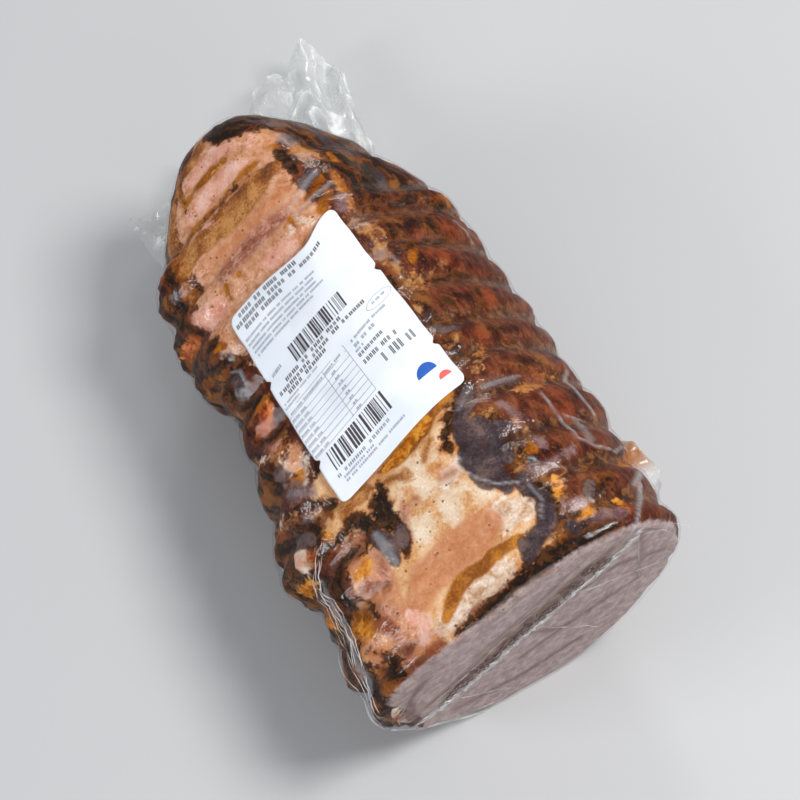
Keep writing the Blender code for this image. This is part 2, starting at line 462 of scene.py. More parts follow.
    def swelling(self, distance: Array, angle: Array) -> Array:
        """Height of the lumps over the plain section.

        Args:
            distance: from the cut face, in metres.
            angle: round the axis, in radians.

        Returns:
            The height in metres.
        """
        total = 0
        for place, middle, height, size in self.lumps():
            along = (distance - place) / size
            radius = self.section(0.5, np.radians(middle))
            round_it = np.radians(self.between(angle, middle)) * radius / size
            total = total + height * np.exp(-(along**2) - round_it**2)
        return total

    def point(self, distance: Array, angle: Array, rise: Array | float = 0.0) -> Array:
        """Points over the ungrooved form.

        Args:
            distance: from the cut face, in metres.
            angle: round the axis from +X over the top, in radians.
            rise: height over the form, in metres.

        Returns:
            The points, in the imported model's frame.
        """
        scale, reach = self.dome(distance)
        radius = self.section(distance / self.length, angle) + self.swelling(distance, angle)
        rim = np.clip(1 - distance / self.rim_round, 0, 1)
        radius = (radius - self.rim_round * (1 - np.sqrt(1 - rim**2))) * scale + rise * scale
        heading = self.axis_turn * distance / self.length
        across = radius * np.cos(angle) + self.dome_shift * reach**2
        axis_x = -self.length / self.axis_turn * (1 - np.cos(heading))
        axis_y = self.length / self.axis_turn * np.sin(heading) - self.length / 2
        x = axis_x + across * np.cos(heading) + self.shift[0]
        y = axis_y + across * np.sin(heading) + self.shift[1] + rise * (reach - rim)
        z = self.axis_height + radius * np.sin(angle) + self.dome_lift * reach**2
        return np.stack(np.broadcast_arrays(x, y, z), -1)

    def placed(self, box: tuple[Vector, Vector]) -> "RoastForm":
        """The same form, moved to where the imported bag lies.

        Args:
            box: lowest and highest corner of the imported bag.

        Returns:
            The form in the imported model's frame.
        """
        lengths = np.linspace(0, self.length, self.survey_columns)
        turns = np.linspace(0, 2 * math.pi, self.survey_rows)
        distance, angle = np.meshgrid(lengths, turns)
        plain = self.point(distance, angle, -self.groove_depth(distance, angle))
        shift = (box[0].x - plain[..., 0].min(), box[0].y + self.length / 2)
        return RoastForm(shift=shift)


class Tone(Enum):
    """Surfaces of the meat over its brown crust, from the lowest layer up."""

    # olive-brown of the strings' grooves, darkened as painted shade in them
    GROOVE_SHADE = "groove"
    UMBER = "umber"
    GOLD = "gold"
    ROASTED = "roasted"
    ROSE = "rose"
    CREAM = "cream"
    FAT = "fat"
    TAN = "tan"
    PEACH = "peach"
    PINK = "pink"
    MAUVE = "mauve"
    AMBER = "amber"
    HONEY = "honey"
    RUST = "rust"
    EMBER = "ember"
    # painted lilac-grey sheen of the film on the meat
    LILAC_SHEEN = "lilac_sheen"
    CHAR = "char"
    # dark char under a painted grey-blue film sheen
    SHEENED_CHAR = "sheened_char"
    CUT = "cut"
    SHADE = "shade"
    JUICE = "juice"


@dataclass(frozen=True)
class ToneFinish:
    """How one surface of the meat looks."""

    shades: tuple[Shade, Shade, Shade]  # display colours, darkest first
    edge: float  # how far its edge wanders, mm
    soft: float  # how soft its edge is, mm
    cover: float = 1.0  # how much it hides
    halo: Shade | None = None  # display colour of the rim round it
    halo_width: float = 2.5  # width of that rim, in mm
    spread: float = 0.11  # noise from its darkest to its middle shade


TONE_FINISHES = {
    # olive-brown of the grooves, darkened as painted shade
    Tone.GROOVE_SHADE: ToneFinish(((34, 18, 9), (72, 41, 20), (138, 92, 50)), 2.4, 1.8, 0.7),
    Tone.UMBER: ToneFinish(((14, 8, 5), (42, 23, 12), (136, 84, 36)), 3.4, 3.2, 0.9, spread=0.1),
    Tone.GOLD: ToneFinish(((98, 54, 20), (146, 92, 48), (196, 144, 92)), 2.4, 1.4, 0.74),
    Tone.ROASTED: ToneFinish(((190, 124, 70), (220, 168, 118), (238, 204, 164)), 3.0, 1.8, spread=0.15),
    Tone.ROSE: ToneFinish(((178, 112, 70), (206, 148, 112), (228, 180, 148)), 3.0, 1.8, spread=0.17),
    Tone.CREAM: ToneFinish(((208, 162, 120), (228, 200, 168), (244, 228, 208)), 3.4, 2.6, 0.86, spread=0.17),
    Tone.FAT: ToneFinish(((178, 132, 100), (216, 187, 162), (244, 228, 214)), 2.6, 2.0, 0.92, spread=0.14),
    Tone.TAN: ToneFinish(((88, 42, 8), (150, 86, 30), (204, 144, 84)), 2.6, 1.2, 0.92, spread=0.13),
    Tone.PEACH: ToneFinish(((186, 112, 68), (200, 132, 90), (214, 152, 114)), 1.4, 1.8, 0.92, spread=0.17),
    Tone.PINK: ToneFinish(((204, 130, 108), (226, 164, 142), (242, 200, 184)), 1.8, 1.3, 0.86, spread=0.16),
    Tone.MAUVE: ToneFinish(((134, 74, 58), (170, 108, 86), (204, 150, 126)), 1.8, 2.2, 0.9),
    Tone.AMBER: ToneFinish(((78, 34, 0), (146, 78, 4), (200, 126, 24)), 1.3, 0.8, 0.94, spread=0.15),
    Tone.HONEY: ToneFinish(((146, 78, 0), (204, 122, 14), (230, 162, 66)), 1.8, 1.2, 0.92),
    Tone.RUST: ToneFinish(((52, 18, 8), (96, 38, 18), (138, 66, 34)), 2.6, 1.6, 0.82),
    Tone.EMBER: ToneFinish(((104, 38, 12), (170, 74, 24), (230, 136, 72)), 2.0, 1.2, 0.94),
    # painted lilac-grey sheen of the film on the meat
    Tone.LILAC_SHEEN: ToneFinish(((70, 46, 46), (104, 76, 76), (148, 118, 116)), 2.0, 1.6, 0.78, spread=0.13),
    Tone.CHAR: ToneFinish(((12, 8, 6), (26, 15, 8), (78, 46, 20)), 2.4, 0.9, 0.97, (118, 60, 16), 2.4),
    # dark char under a painted grey-blue film sheen, with a brown rim
    Tone.SHEENED_CHAR: ToneFinish(((44, 34, 38), (70, 57, 62), (112, 90, 84)), 1.3, 0.7, 0.94, (72, 38, 20), 1.6),
    Tone.CUT: ToneFinish(((148, 128, 125), (165, 145, 142), (182, 164, 161)), 0.5, 0.8),
    Tone.SHADE: ToneFinish(((60, 42, 38), (98, 78, 74), (134, 114, 110)), 1.6, 2.4, 0.72),
    Tone.JUICE: ToneFinish(((118, 93, 83), (138, 114, 105), (158, 136, 126)), 1.8, 0.8, 0.9),
}


def paths(*rows: Sequence[float]) -> tuple[Stroke, ...]:
    """Strokes from rows of numbers, three to each point."""
    return tuple(tuple(zip(row[::3], row[1::3], row[2::3])) for row in rows)


# Where each tone lies, a row a stroke: distance from the cut face in mm, angle in degrees and width
# in mm, point after point.
TONE_STROKES: dict[Tone, tuple[Stroke, ...]] = {
    Tone.UMBER: paths(
        (0, 186, 40, 60, 184, 38, 130, 186, 36, 200, 186, 34, 245, 182, 24),  # the dark side
        (206, 62, 10, 222, 58, 20, 244, 60, 20, 266, 62, 20, 288, 62, 20),  # the dome's flank
        (210, 38, 8, 232, 38, 16, 256, 38, 18, 284, 42, 18), (272, 82, 8, 284, 92, 16, 294, 118, 16),
        (1, 126, 3, 2, 108, 5, 3, 96, 9, 4, 84, 12, 3, 70, 13, 2, 56, 9),  # by the cut
        (12, 84, 14, 20, 76, 13, 34, 72, 9, 48, 74, 10, 62, 76, 12, 74, 76, 10),
        (76, 92, 8, 84, 86, 9, 92, 79, 8),
        (110, 72, 6, 124, 70, 8, 140, 73, 7, 156, 74, 6),  # along the label
        (186, 66, 8, 190, 46, 8), (98, 50, 5, 98, 38, 5), (120, 44, 5, 118, 54, 4), (18, 60, 7, 26, 50, 6),
        (4, 172, 10, 12, 164, 6), (24, 174, 10, 44, 165, 8, 58, 160, 9, 60, 148, 7),
        (70, 163, 6, 84, 164, 8, 90, 172, 12, 94, 180, 12), (92, 154, 6, 96, 166, 6),
        (112, 168, 10, 122, 168, 9, 130, 172, 9), (132, 156, 5, 134, 166, 6),
        (146, 166, 6, 152, 160, 9, 162, 166, 12, 172, 160, 8, 178, 168, 12, 188, 172, 12),
        (196, 180, 12, 212, 180, 12, 228, 178, 12, 240, 174, 8),
    ),
    Tone.GOLD: paths(
        (176, 73, 5, 186, 76, 7, 197, 79, 5),  # along the label
        (162, 74, 4, 170, 76, 6), (154, 72, 2, 156, 60, 2.6, 155, 52, 2), (160, 56, 1.6, 163, 52, 2),
        (184, 71, 3, 189, 72, 4), (99, 70, 2.6, 103, 66, 3), (115, 74, 3, 118, 69, 2),
        (139, 77, 3, 143, 75, 4), (132, 60, 1.6, 135, 52, 2), (138, 54, 1, 141, 58, 1.6),
        (205, 76, 3, 214, 74, 5, 224, 73, 5, 231, 75, 2),  # ridge stripes
        (240, 76, 7, 247, 78, 8, 252, 73, 5), (22, 70, 3, 28, 69, 5, 34, 66, 4, 37, 64, 3),
        (25, 72, 2, 33, 73, 2), (26, 55, 2), (42, 76, 4, 50, 78, 3, 56, 74, 4),
        (74, 79, 3, 77, 82, 3, 76, 73, 3), (4, 80, 3, 12, 82, 3, 11, 75, 3, 4, 74, 2),
        (64, 64, 1.6, 69, 67, 1.6), (218, 52, 1.6, 226, 60, 2),
        (4, 165, 9, 8, 158, 5),  # lumps of the dark side
        (78, 151, 3, 84, 152, 4, 88, 154, 3, 88, 158, 3, 84, 160, 2, 79, 159, 2), (67, 174, 4, 69, 180, 4),
        (88, 160, 4, 91, 165, 5, 95, 168, 5, 99, 174, 5), (122, 158, 9, 129, 156, 8),
        (146, 162, 4, 149, 155, 5), (152, 164, 3, 156, 172, 3), (183, 172, 4, 189, 166, 5),
        (98, 182, 6, 106, 186, 5), (132, 176, 4, 136, 184, 4),
    ),
    Tone.ROASTED: paths(
        (-6, 120, 96, 72, 120, 92),  # the pale face near the cut
        (78, 118, 64, 98, 104, 50), (73, 168, 8, 78, 170, 7), (14, 160, 14, 20, 163, 12),
    ),
    Tone.ROSE: paths(
        (204, 124, 96, 232, 124, 84, 262, 122, 88, 276, 130, 66),  # the pale face at the dome
        (262, 90, 14, 266, 80, 13), (246, 160, 20, 262, 162, 12),
    ),
    Tone.CREAM: paths(
        (50, 122, 14, 56, 126, 8), (47, 108, 12, 54, 103, 12), (66, 112, 14, 76, 110, 9),
        (70, 123, 8, 76, 119, 6), (72, 102, 7, 76, 98, 5), (44, 96, 8, 43, 90, 6), (54, 152, 8),
    ),
    Tone.FAT: paths(
        (8, 139, 10, 9, 128, 13, 10, 115, 14, 10, 103, 12), (16, 147, 10, 22, 144, 8),
        (34, 97, 12, 32, 90, 17, 31, 84, 14), (62, 96, 8, 60, 104, 7), (24, 120, 4), (74, 168, 8, 79, 171, 7),
        (105, 156, 9, 112, 154, 8, 117, 155, 5), (206, 106, 4, 210, 100, 3, 208, 95, 3),
        (6, 182, 5, 10, 180, 5), (96, 176, 3, 98, 170, 3), (126, 164, 3, 128, 170, 3),
        (168, 170, 3, 172, 173, 3),
    ),
    Tone.TAN: paths(
        (235, 160, 9, 239, 148, 14, 240, 134, 17, 241, 118, 18, 243, 104, 15, 247, 92, 12),
        (220, 166, 8, 234, 165, 12, 246, 164, 10), (281, 160, 12, 287, 146, 14, 289, 132, 10),
        (241, 75, 9, 250, 77, 10, 255, 74, 6), (260, 78, 5, 270, 78, 4), (206, 75, 3, 216, 73, 5, 230, 73, 5),
        (280, 166, 10, 268, 160, 5), (240, 173, 10, 256, 174, 13, 270, 173, 13, 281, 170, 12),
        (80, 134, 6, 80, 146, 8, 74, 148, 4), (88, 152, 6, 82, 152, 4),
        (28, 161, 12, 36, 162, 14, 42, 164, 8), (4, 166, 8, 12, 168, 6), (104, 64, 4, 110, 60, 3),
        (150, 68, 3, 158, 67, 4), (74, 106, 3, 80, 100, 4), (74, 116, 5, 78, 126, 5),
        (84, 57, 5, 86, 47, 5, 90, 38, 5), (203, 148, 3, 210, 146, 3), (20, 154, 3, 16, 151, 3),
    ),
    Tone.PEACH: paths(
        (24, 142, 12, 30, 134, 17, 32, 118, 18, 32, 104, 18, 33, 98, 14),
        (4, 146, 13, 20, 151, 16, 44, 151, 16, 54, 152, 11),  # the rosy end of the dark side
        (17, 162, 10, 21, 163, 9), (112, 156, 5, 118, 152, 6),
        (226, 150, 5, 226, 128, 6, 228, 110, 7, 230, 96, 6), (252, 140, 4, 252, 120, 5, 254, 104, 5),
    ),
    Tone.PINK: paths(
        (203, 106, 8, 203, 116, 9, 204, 124, 6), (203, 154, 10, 205, 163, 10),
        (258, 104, 5, 260, 116, 8, 260, 134, 8, 258, 148, 6), (257, 154, 4, 256, 160, 3),
        (274, 101, 5, 275, 116, 9, 275, 134, 9, 273, 148, 7, 275, 158, 5), (246, 147, 4, 243, 140, 3),
        (266, 96, 5, 268, 90, 5), (9, 147, 5, 13, 145, 5), (20, 146, 5, 16, 142, 4), (75, 169, 5, 77, 172, 4),
        (140, 156, 4, 142, 153, 3),
    ),
    Tone.MAUVE: paths(
        (220, 102, 8, 219, 118, 12, 218, 134, 12, 217, 147, 10), (3, 154, 8, 9, 155, 6, 18, 154, 5),
        (26, 150, 4, 34, 154, 4), (44, 146, 6, 50, 144, 6, 54, 146, 4), (50, 131, 6, 58, 129, 6, 63, 125, 5),
        (63, 119, 5), (63, 104, 3, 62, 98, 3), (126, 158, 6, 131, 162, 6),
    ),
    Tone.AMBER: paths(
        (11, 136, 3, 15, 131, 6, 19, 124, 7, 20, 116, 7, 19, 110, 7, 21, 104, 6),
        (21, 104, 6, 20, 96, 5, 19, 90, 3),
        (83, 127, 3, 83, 118, 7, 84, 108, 8, 86, 100, 8, 90, 93, 5, 93, 84, 4),
        (251, 164, 3, 251, 144, 3.6, 253, 122, 3.4, 255, 106, 3.2, 257, 92, 3, 258, 80, 3),
        (264, 158, 4, 267, 142, 5, 268, 130, 6, 268, 114, 4), (209, 87, 6, 216, 83, 6, 220, 78, 4),
        (221, 89, 4, 225, 82, 6, 227, 78, 4), (212, 73, 3, 222, 71, 4), (206, 156, 2.4), (209.5, 137.5, 3),
        (204, 117.5, 2.6), (243, 133, 2.4), (203, 147, 2.4, 210, 146, 2.4), (209, 101, 2.4, 215, 101, 2.4),
        (236, 66, 4, 242, 64, 4), (250, 62, 4, 254, 59, 4), (270, 64, 3, 276, 56, 4),
        (165, 66, 4, 172, 62, 5), (2, 86, 5, 6, 82, 6, 8, 76, 5), (30, 160, 7, 36, 165, 6),
        (44, 160, 4, 50, 158, 3), (80, 152, 3, 86, 154, 4), (84, 172, 4, 98, 177, 4),
        (106, 159, 4, 110, 163, 4, 112, 167, 4), (147, 158, 3, 148, 152, 3), (176, 166, 6, 178, 171, 4),
        (184, 157, 4, 187, 160, 5), (182, 176, 5, 186, 186, 6), (204, 168, 4, 203, 180, 6, 204, 190, 5),
        (33, 38, 3, 39, 28, 5, 45, 18, 6), (205, 34, 5, 207, 24, 6), (52, 69, 6, 56, 68, 4),
    ),
    Tone.HONEY: paths(
        (82, 124, 3, 84, 113, 6, 87, 103, 6, 90, 96, 4), (70, 156, 4, 75, 157, 5), (46, 175, 5, 49, 180, 4),
        (66, 174, 4, 68, 182, 5), (15, 70, 5, 15, 63, 5), (8, 51, 3, 14, 50, 5),
        (28, 70, 4, 34, 68, 4, 37, 65, 3), (50, 153, 7, 53, 150, 5), (105, 158, 6, 109, 156, 5),
        (266, 128, 2.4, 267, 120, 2), (26, 161, 4, 34, 163, 4),
    ),
    Tone.RUST: paths(
        (62, 148, 9, 63, 155, 13, 64, 163, 12), (82, 156, 4, 84, 155, 4), (66, 46, 9, 76, 44, 12),
        (88, 44, 5, 90, 50, 4), (139, 42, 7, 145, 40, 6), (104, 52, 5, 112, 56, 6, 118, 58, 5),
        (158, 48, 7, 166, 44, 6, 168, 56, 6), (181, 56, 6, 188, 56, 5), (182, 36, 6, 186, 38, 5),
        (2, 142, 5, 2, 152, 7, 3, 158, 7), (20, 152, 3, 28, 156, 4), (44, 156, 4, 40, 148, 3),
        (10, 153, 4, 14, 158, 4), (3, 136, 4, 4, 124, 6, 4, 112, 7, 5, 102, 8, 6, 96, 8),
        (4, 60, 6, 5, 50, 7), (73, 163, 5, 72, 165, 4), (90, 176, 6, 94, 172, 5),
    ),
    Tone.EMBER: paths(
        (135, 162, 5, 138, 159, 8, 143, 155, 8), (71, 164, 4, 73, 165, 3), (203, 172, 4, 205, 184, 4),
    ),
    # painted film sheen: lilac-grey highlights on the flank and the dark side
    Tone.LILAC_SHEEN: paths(
        (5, 68, 9, 8, 60, 11, 7, 56, 8), (97, 155, 8, 102, 160, 8, 107, 165, 7),
        (82, 160, 2, 86, 167, 4, 88, 171, 3), (43, 74, 4, 43, 66, 3, 45, 56, 3),
        (90, 72, 3, 90, 64, 4, 89, 56, 3), (22, 70, 4, 20, 65, 3), (50, 64, 3, 58, 64, 3),
        (70, 66, 4, 78, 68, 3), (206, 80, 5, 213, 76, 5),
    ),
    Tone.CHAR: paths(
        (291, 124, 8, 284, 113, 9, 281, 102, 9, 279, 92, 8, 276, 80, 5),  # rim of the dome
        (270, 74, 5, 282, 74, 12, 292, 92, 18, 297, 130, 14),
        (238, 86, 6, 246, 85, 9, 254, 84, 6, 259, 78, 4), (237, 80, 3, 236, 74, 4, 234, 70, 4),
        (222, 76.5, 2, 231, 76, 2), (249, 160, 0.8, 249.5, 140, 1.2, 251, 120, 1.2, 253.5, 104, 1),
        (205, 72, 3, 213, 68, 5, 222, 64, 7, 231, 68, 4, 237, 76, 4), (214, 60, 8, 224, 54, 14, 232, 46, 11),
        (202, 66, 3, 203, 54, 3, 206, 44, 6, 213, 42, 5), (246, 60, 6, 256, 64, 6, 266, 66, 6),
        (176, 62, 2, 178, 50, 3, 178, 40, 2), (154, 60, 2, 155, 48, 3, 156, 40, 2), (183, 66, 4, 189, 66, 4),
        (184, 44, 5, 188, 46, 6, 191, 44, 5), (155, 77, 3, 160, 78, 3), (122, 72, 4, 127, 68, 3),
        (194, 30, 5, 199, 34, 6, 203, 30, 5), (138, 60, 3, 140, 62, 3), (136, 45, 2, 144, 44, 3),
        (60, 143, 6, 68, 143, 9, 72, 146, 6),  # the char by the label's near corner
        (59, 133, 9, 66, 135, 13, 73, 132, 9, 78, 128, 3), (46, 135, 3, 50, 133, 5, 56, 132, 7),
        (2, 136, 2, 2, 126, 4, 3, 116, 5, 3, 106, 6, 4, 98, 8),
        (3, 93, 9, 4, 88, 10, 4, 78, 9, 3, 68, 7, 3, 58, 4),  # the dark end of the flank
        (7, 97, 3, 8, 91, 4), (73, 95, 5, 77, 93, 4, 84, 88, 4, 91, 80, 5, 97, 75, 4), (17, 68, 3, 18, 74, 2),
        (21, 80, 2, 24, 77, 2, 34, 76, 1.6, 39, 77, 2), (26, 50, 4, 20, 60, 3),
        (2, 160, 5, 9, 161, 6, 14, 162, 4),  # hollows of the dark side
        (20, 163, 2.4), (5, 162, 4, 11, 163, 4), (30, 155.5, 1.4, 38, 157, 1.6, 44, 160, 2),
        (70, 148, 4, 70, 158, 3, 69, 163, 3), (74, 160, 3, 80, 159, 4, 86, 162, 4),
        (44, 164, 6, 54, 163, 8, 60, 161, 6), (60, 148, 3, 62, 158, 3), (24, 180, 8, 28, 176, 7),
        (70, 161, 3, 76, 161, 4, 84, 163, 4, 90, 166, 3), (86, 168, 6, 88, 176, 7, 92, 181, 7),
        (73, 174, 2, 80, 176, 3), (86, 151, 3, 92, 157, 4),
        (110, 170, 4, 113, 164, 6, 119, 167, 5, 122, 168, 4), (133, 153, 3, 132, 160, 3, 134, 166, 3),
        (146, 166, 3, 152, 158, 5, 155, 166, 4, 162, 163, 5, 170, 168, 4, 172, 157, 4),
        (178, 160, 4, 181, 168, 5, 186, 174, 5, 190, 160, 4), (196, 176, 6, 194, 186, 7),
        (199, 169, 3, 208, 169, 3), (210, 172, 5, 222, 172, 6, 230, 168, 5, 240, 170, 4),
        (222, 180, 7, 236, 180, 7),
    ),
    # painted film sheen: grey-blue reflection and soft highlights over dark char
    Tone.SHEENED_CHAR: paths(
        (44, 84, 8, 52, 87, 14, 62, 88, 15, 72, 87, 11, 80, 86, 6), (56, 79, 10, 66, 78, 10, 74, 80, 6),
        (80, 86, 6, 87, 79, 7, 93, 75, 4), (9, 93, 5, 14, 89, 9, 17, 82, 7, 21, 78, 8, 30, 75, 6, 42, 78, 6),
        (9, 73, 6, 13, 71, 5), (23, 60, 4, 26, 58, 3), (46, 140, 5, 54, 139, 8, 60, 142, 7),
        (50, 134, 6, 55, 132, 6), (228, 87, 5, 231, 81, 6), (246, 50, 9, 262, 52, 9),
        (218, 50, 6, 230, 44, 6), (272, 66, 6, 282, 78, 6), (114, 163, 4, 116, 161, 3),
        (158, 160, 5, 168, 159, 6), (78, 162, 3, 82, 166, 4, 86, 171, 4), (88.5, 162, 2),
        (124, 66, 4, 127, 73, 4), (68, 72, 5, 71, 78, 5),
    ),
}

# Tones that stand over the rest of the meat, or lie below it, in mm.
RAISED_TONES = ((Tone.PEACH, 0.12), (Tone.PINK, 0.12), (Tone.GOLD, 0.35), (Tone.AMBER, -0.25))

# What the bag's rim hides of the cut face's left end, and the tones over it.
BARE_END = (-84, 74, 10, -80, 58, 20, -74, 42, 22, -66, 30, 16)
# Where tones lie on the cut face: x, height and width in mm, point after point.
CUT_STROKES: dict[Tone, tuple[Stroke, ...]] = {
    Tone.UMBER: paths(BARE_END),
    Tone.MAUVE: paths((-80, 60, 8, -74, 50, 7)),
    Tone.FAT: paths((-76, 64, 5, -72, 56, 4), (-70, 44, 3, -66, 36, 4)),
    Tone.GOLD: paths((-70, 50, 4, -74, 38, 5)),
    Tone.JUICE: paths(
        (-58, 45, 5, -42, 54, 9, -28, 64, 12, -17, 72, 14, -5, 81, 14, 6, 89, 13, 16, 97, 11),
        (16, 97, 11, 28, 105, 8, 38, 113, 5),
    ),
    Tone.SHADE: paths(
        (-7, 42, 3, 12, 50, 4, 30, 55, 5, 55, 61, 3), (50, 116, 2, 53, 92, 2, 54, 65, 2),
        (54, 114, 7, 66, 104, 8, 76, 90, 6), (-64, 34, 8, -66, 50, 8, -66, 64, 6, -60, 76, 6),
        (-40, 22, 4, -4, 20, 5, 26, 26, 4), (-8, 70, 2, 14, 50, 3),
        (-30, 74, 2, -6, 92, 2, 18, 112, 2), (10, 78, 3, 40, 90, 4, 66, 78, 3),
    ),
}
(CREASE,) = paths((
    -64, 34, 2, -47, 40, 2, -37, 46, 2, -24, 56, 2, -15, 64, 2, -3, 73, 2,
    8, 80, 2, 15, 87, 2, 29, 96, 2, 33, 100, 2, 43, 110, 2, 49, 119, 2,
))

# Fine folds of the film over the cut face: runs of (x and height in mm).
CUT_FOLDS: tuple[tuple[Pair, ...], ...] = (
    ((-1, 71), (16, 52), (36, 29)),
    ((-45, 39), (-24, 26), (-7, 10)),
    ((-58, 44), (-36, 62), (-12, 84), (8, 100)),
    ((54, 116), (66, 106), (78, 90)),
    ((50, 112), (62, 103), (74, 84)),
    ((46, 118), (50, 96), (54, 64)),
    ((20, 84), (44, 76), (70, 66)),
    ((-70, 34), (-72, 52), (-66, 70)),
    ((-66, 28), (-46, 16), (-20, 6)),
)

# Folds of the film: (row as in TONE_STROKES, height in mm, haze from 0 to 1). On most of them the haze is
# painted highlight: whitish lines and glints along the fold.
FOLDS_AND_GLINTS: tuple[tuple[Sequence[float], float, float], ...] = (
    ((213, 99, 2, 218, 88, 2.6, 222, 76, 2), 1, 0.26),
    ((219, 99, 2.4, 225, 88, 3.2, 231, 78, 2.6), 1, 0.22),
    ((62, 168, 2, 50, 167, 3, 40, 169, 3, 30, 167, 3, 21, 170, 4, 10, 174, 5), 0.4, 0.26),
    # painted highlight: a thin light line along the char's upper edge
    ((41, 80, 1, 45, 87, 1, 52, 92, 1, 60, 95, 1, 67, 93, 1), 0.6, 0.45),
    ((21, 81, 1, 28, 77, 1, 38, 77, 1), 0.5, 0.35),
    # painted highlight: a bluish-grey sheen by the label's near corner
    ((44, 140, 3, 52, 140, 6, 60, 141, 4), 0.6, 0.22),
    # painted highlight: a small whitish ring
    ((44, 72, 1, 47, 73, 1, 49, 71.5, 1, 46, 70.5, 1, 44, 72, 1), 0.5, 0.5),
    # painted glints: whitish lines of film over the flank's ridges
    ((42, 38, 1.4, 44, 46, 1.4, 50, 51, 1.6, 60, 50, 1.6, 65, 51, 1.4, 78, 52, 1.2), 1, 0.34),
    ((48, 46, 5, 60, 44, 4), 0.4, 0.16), ((60, 40, 1.2, 64, 48, 1.4), 0.8, 0.3),
    ((63, 32, 1.6, 72, 35, 1.8, 84, 35, 1.8, 92, 28, 1.6), 1, 0.35),
    ((0, 53, 1.6, 8, 48, 2, 14, 42, 2.4, 20, 38, 3), 1.2, 0.35),
    ((20, 42, 2.4, 26, 34, 4, 30, 26, 5), 1, 0.3),
    ((41, 36, 1.4, 44, 30, 1.6, 45, 24, 1.4), 0.8, 0.35),
    ((8, 140, 0.9, 10, 147, 1.1, 13, 152, 0.9), 0.4, 0.35), ((98, 155, 3, 103, 161, 3.6), 0.6, 0.14),
    ((156, 160, 1.2, 160, 156, 1.4, 168, 156, 1.4, 172, 161, 1.2), 0.8, 0.3),
    ((165, 73, 2.5, 170, 73, 2), 0.5, 0.2), ((90, 71, 2.6, 90, 60, 2.2, 90, 54, 1.6), 0.6, 0.2),
    ((84, 84, 2, 92, 76, 2), 0.6, 0.15), ((190, 33, 1.4, 184, 28, 1.4, 178, 26, 1.4), 0.8, 0.3),
    # painted highlight: a whitish line along the dark side's outline
    ((0, 192, 1.2, 20, 192, 1.2, 44, 190, 1.2, 62, 192, 1.2, 80, 190, 1.2, 104, 191, 1.2), 1, 0.4),
    ((104, 191, 1.2, 130, 190, 1.2, 150, 192, 1.2, 176, 190, 1.2, 200, 190, 1.2), 0.8, 0.3),
)


class Graph:
    """A material's nodes, built from short calls."""

    def __init__(self, name: str) -> None:
        """Start an empty material.

        Args:
            name: the material's name.
        """
        self.material = bpy.data.materials.new(name)
        self.material.use_nodes = True
        self.tree = self.material.node_tree
        self.tree.nodes.clear()
        self.output = self.tree.nodes.new("ShaderNodeOutputMaterial")
        self.place = self.tree.nodes.new("ShaderNodeTexCoord").outputs["Object"]

    def add(self, kind: str, inputs: dict, **settings: object) -> bpy.types.Node:
        """Add a node.

        Args:
            kind: the node's type.
            inputs: for each input, what feeds it or its constant value.
            settings: the node's own settings.

        Returns:
            The new node.
        """
        node = self.tree.nodes.new(kind)
        for key, value in settings.items():
            setattr(node, key, value)
        for key, value in inputs.items():
            if isinstance(value, Socket):
                self.tree.links.new(value, node.inputs[key])
            else:
                node.inputs[key].default_value = value
        return node

    def stretched(self, stretch: Triple) -> Socket:
        """Object coordinates, drawn out along an axis."""
        return self.add("ShaderNodeMapping", {"Vector": self.place, "Scale": stretch}).outputs[0]

    def noise(self, size: float, detail: float = 3, place: Socket | None = None, warp: float = 0) -> Socket:
        """Noise with features of a size in mm, from 0 to 1 about 0.5.

        Args:
            size: the features' size.
            detail: number of finer layers.
            place: where it is read, the object's own coordinates unless given.
            warp: how far it is distorted.

        Returns:
            The noise.
        """
        inputs = {"Vector": place or self.place, "Detail": detail, "Distortion": warp}
        inputs["Scale"] = 1 / (size * MM)
        return self.add("ShaderNodeTexNoise", inputs).outputs[0]

    def blend(self, value: Socket, stops: Sequence[tuple[float, Colour]]) -> Socket:
        """Give each value a colour.

        Args:
            value: the value, from 0 to 1.
            stops: places along the values and their colours.

        Returns:
            The colour.
        """
        node = self.add("ShaderNodeValToRGB", {"Fac": value})
        elements = node.color_ramp.elements
        elements[0].position, elements[0].color = stops[0]
        elements[1].position, elements[1].color = stops[-1]
        for position, colour in stops[1:-1]:
            elements.new(position).color = colour
        return node.outputs[0]

    def math(self, operation: str, first: object, second: object = 0.0, clamp: bool = False) -> Socket:
        """A sum, product or other arithmetic of two values."""
        inputs = {0: first, 1: second}
        return self.add("ShaderNodeMath", inputs, operation=operation, use_clamp=clamp).outputs[0]

    def sum_of(self, first: Socket, first_share: float, second: Socket, second_share: float) -> Socket:
        """Two values added, each times its share."""
        shares = (self.math("MULTIPLY", first, first_share), self.math("MULTIPLY", second, second_share))
        return self.math("ADD", *shares)

    def step(self, value: Socket, low: float, high: float, top: float = 1.0) -> Socket:
        """A smooth step from 0 at low to top at high."""
        inputs = {"Value": value, "From Min": low, "From Max": high, "To Max": top}
        return self.add("ShaderNodeMapRange", inputs, interpolation_type="SMOOTHSTEP").outputs[0]

    def mix(self, share: object, first: object, second: object, blend: str = "MIX") -> Socket:
        """A mix of two colours."""
        inputs = {0: share, 6: first, 7: second}
        return self.add("ShaderNodeMix", inputs, data_type="RGBA", blend_type=blend).outputs[2]

    def layer(self, name: str) -> Socket:
        """A value painted on the piece's points."""
        return self.add("ShaderNodeAttribute", {}, attribute_name=name).outputs["Fac"]

    def bump(self, height: Socket, depth: float, strength: float = 1.0) -> Socket:
        """Fine relief of a depth in mm."""
        inputs = {"Height": height, "Distance": depth * MM, "Strength": strength}
        return self.add("ShaderNodeBump", inputs).outputs[0]

    def finish(self, shader: bpy.types.Node) -> Material:
        """Give the material its surface."""
        self.tree.links.new(shader.outputs[0], self.output.inputs["Surface"])
        return self.material


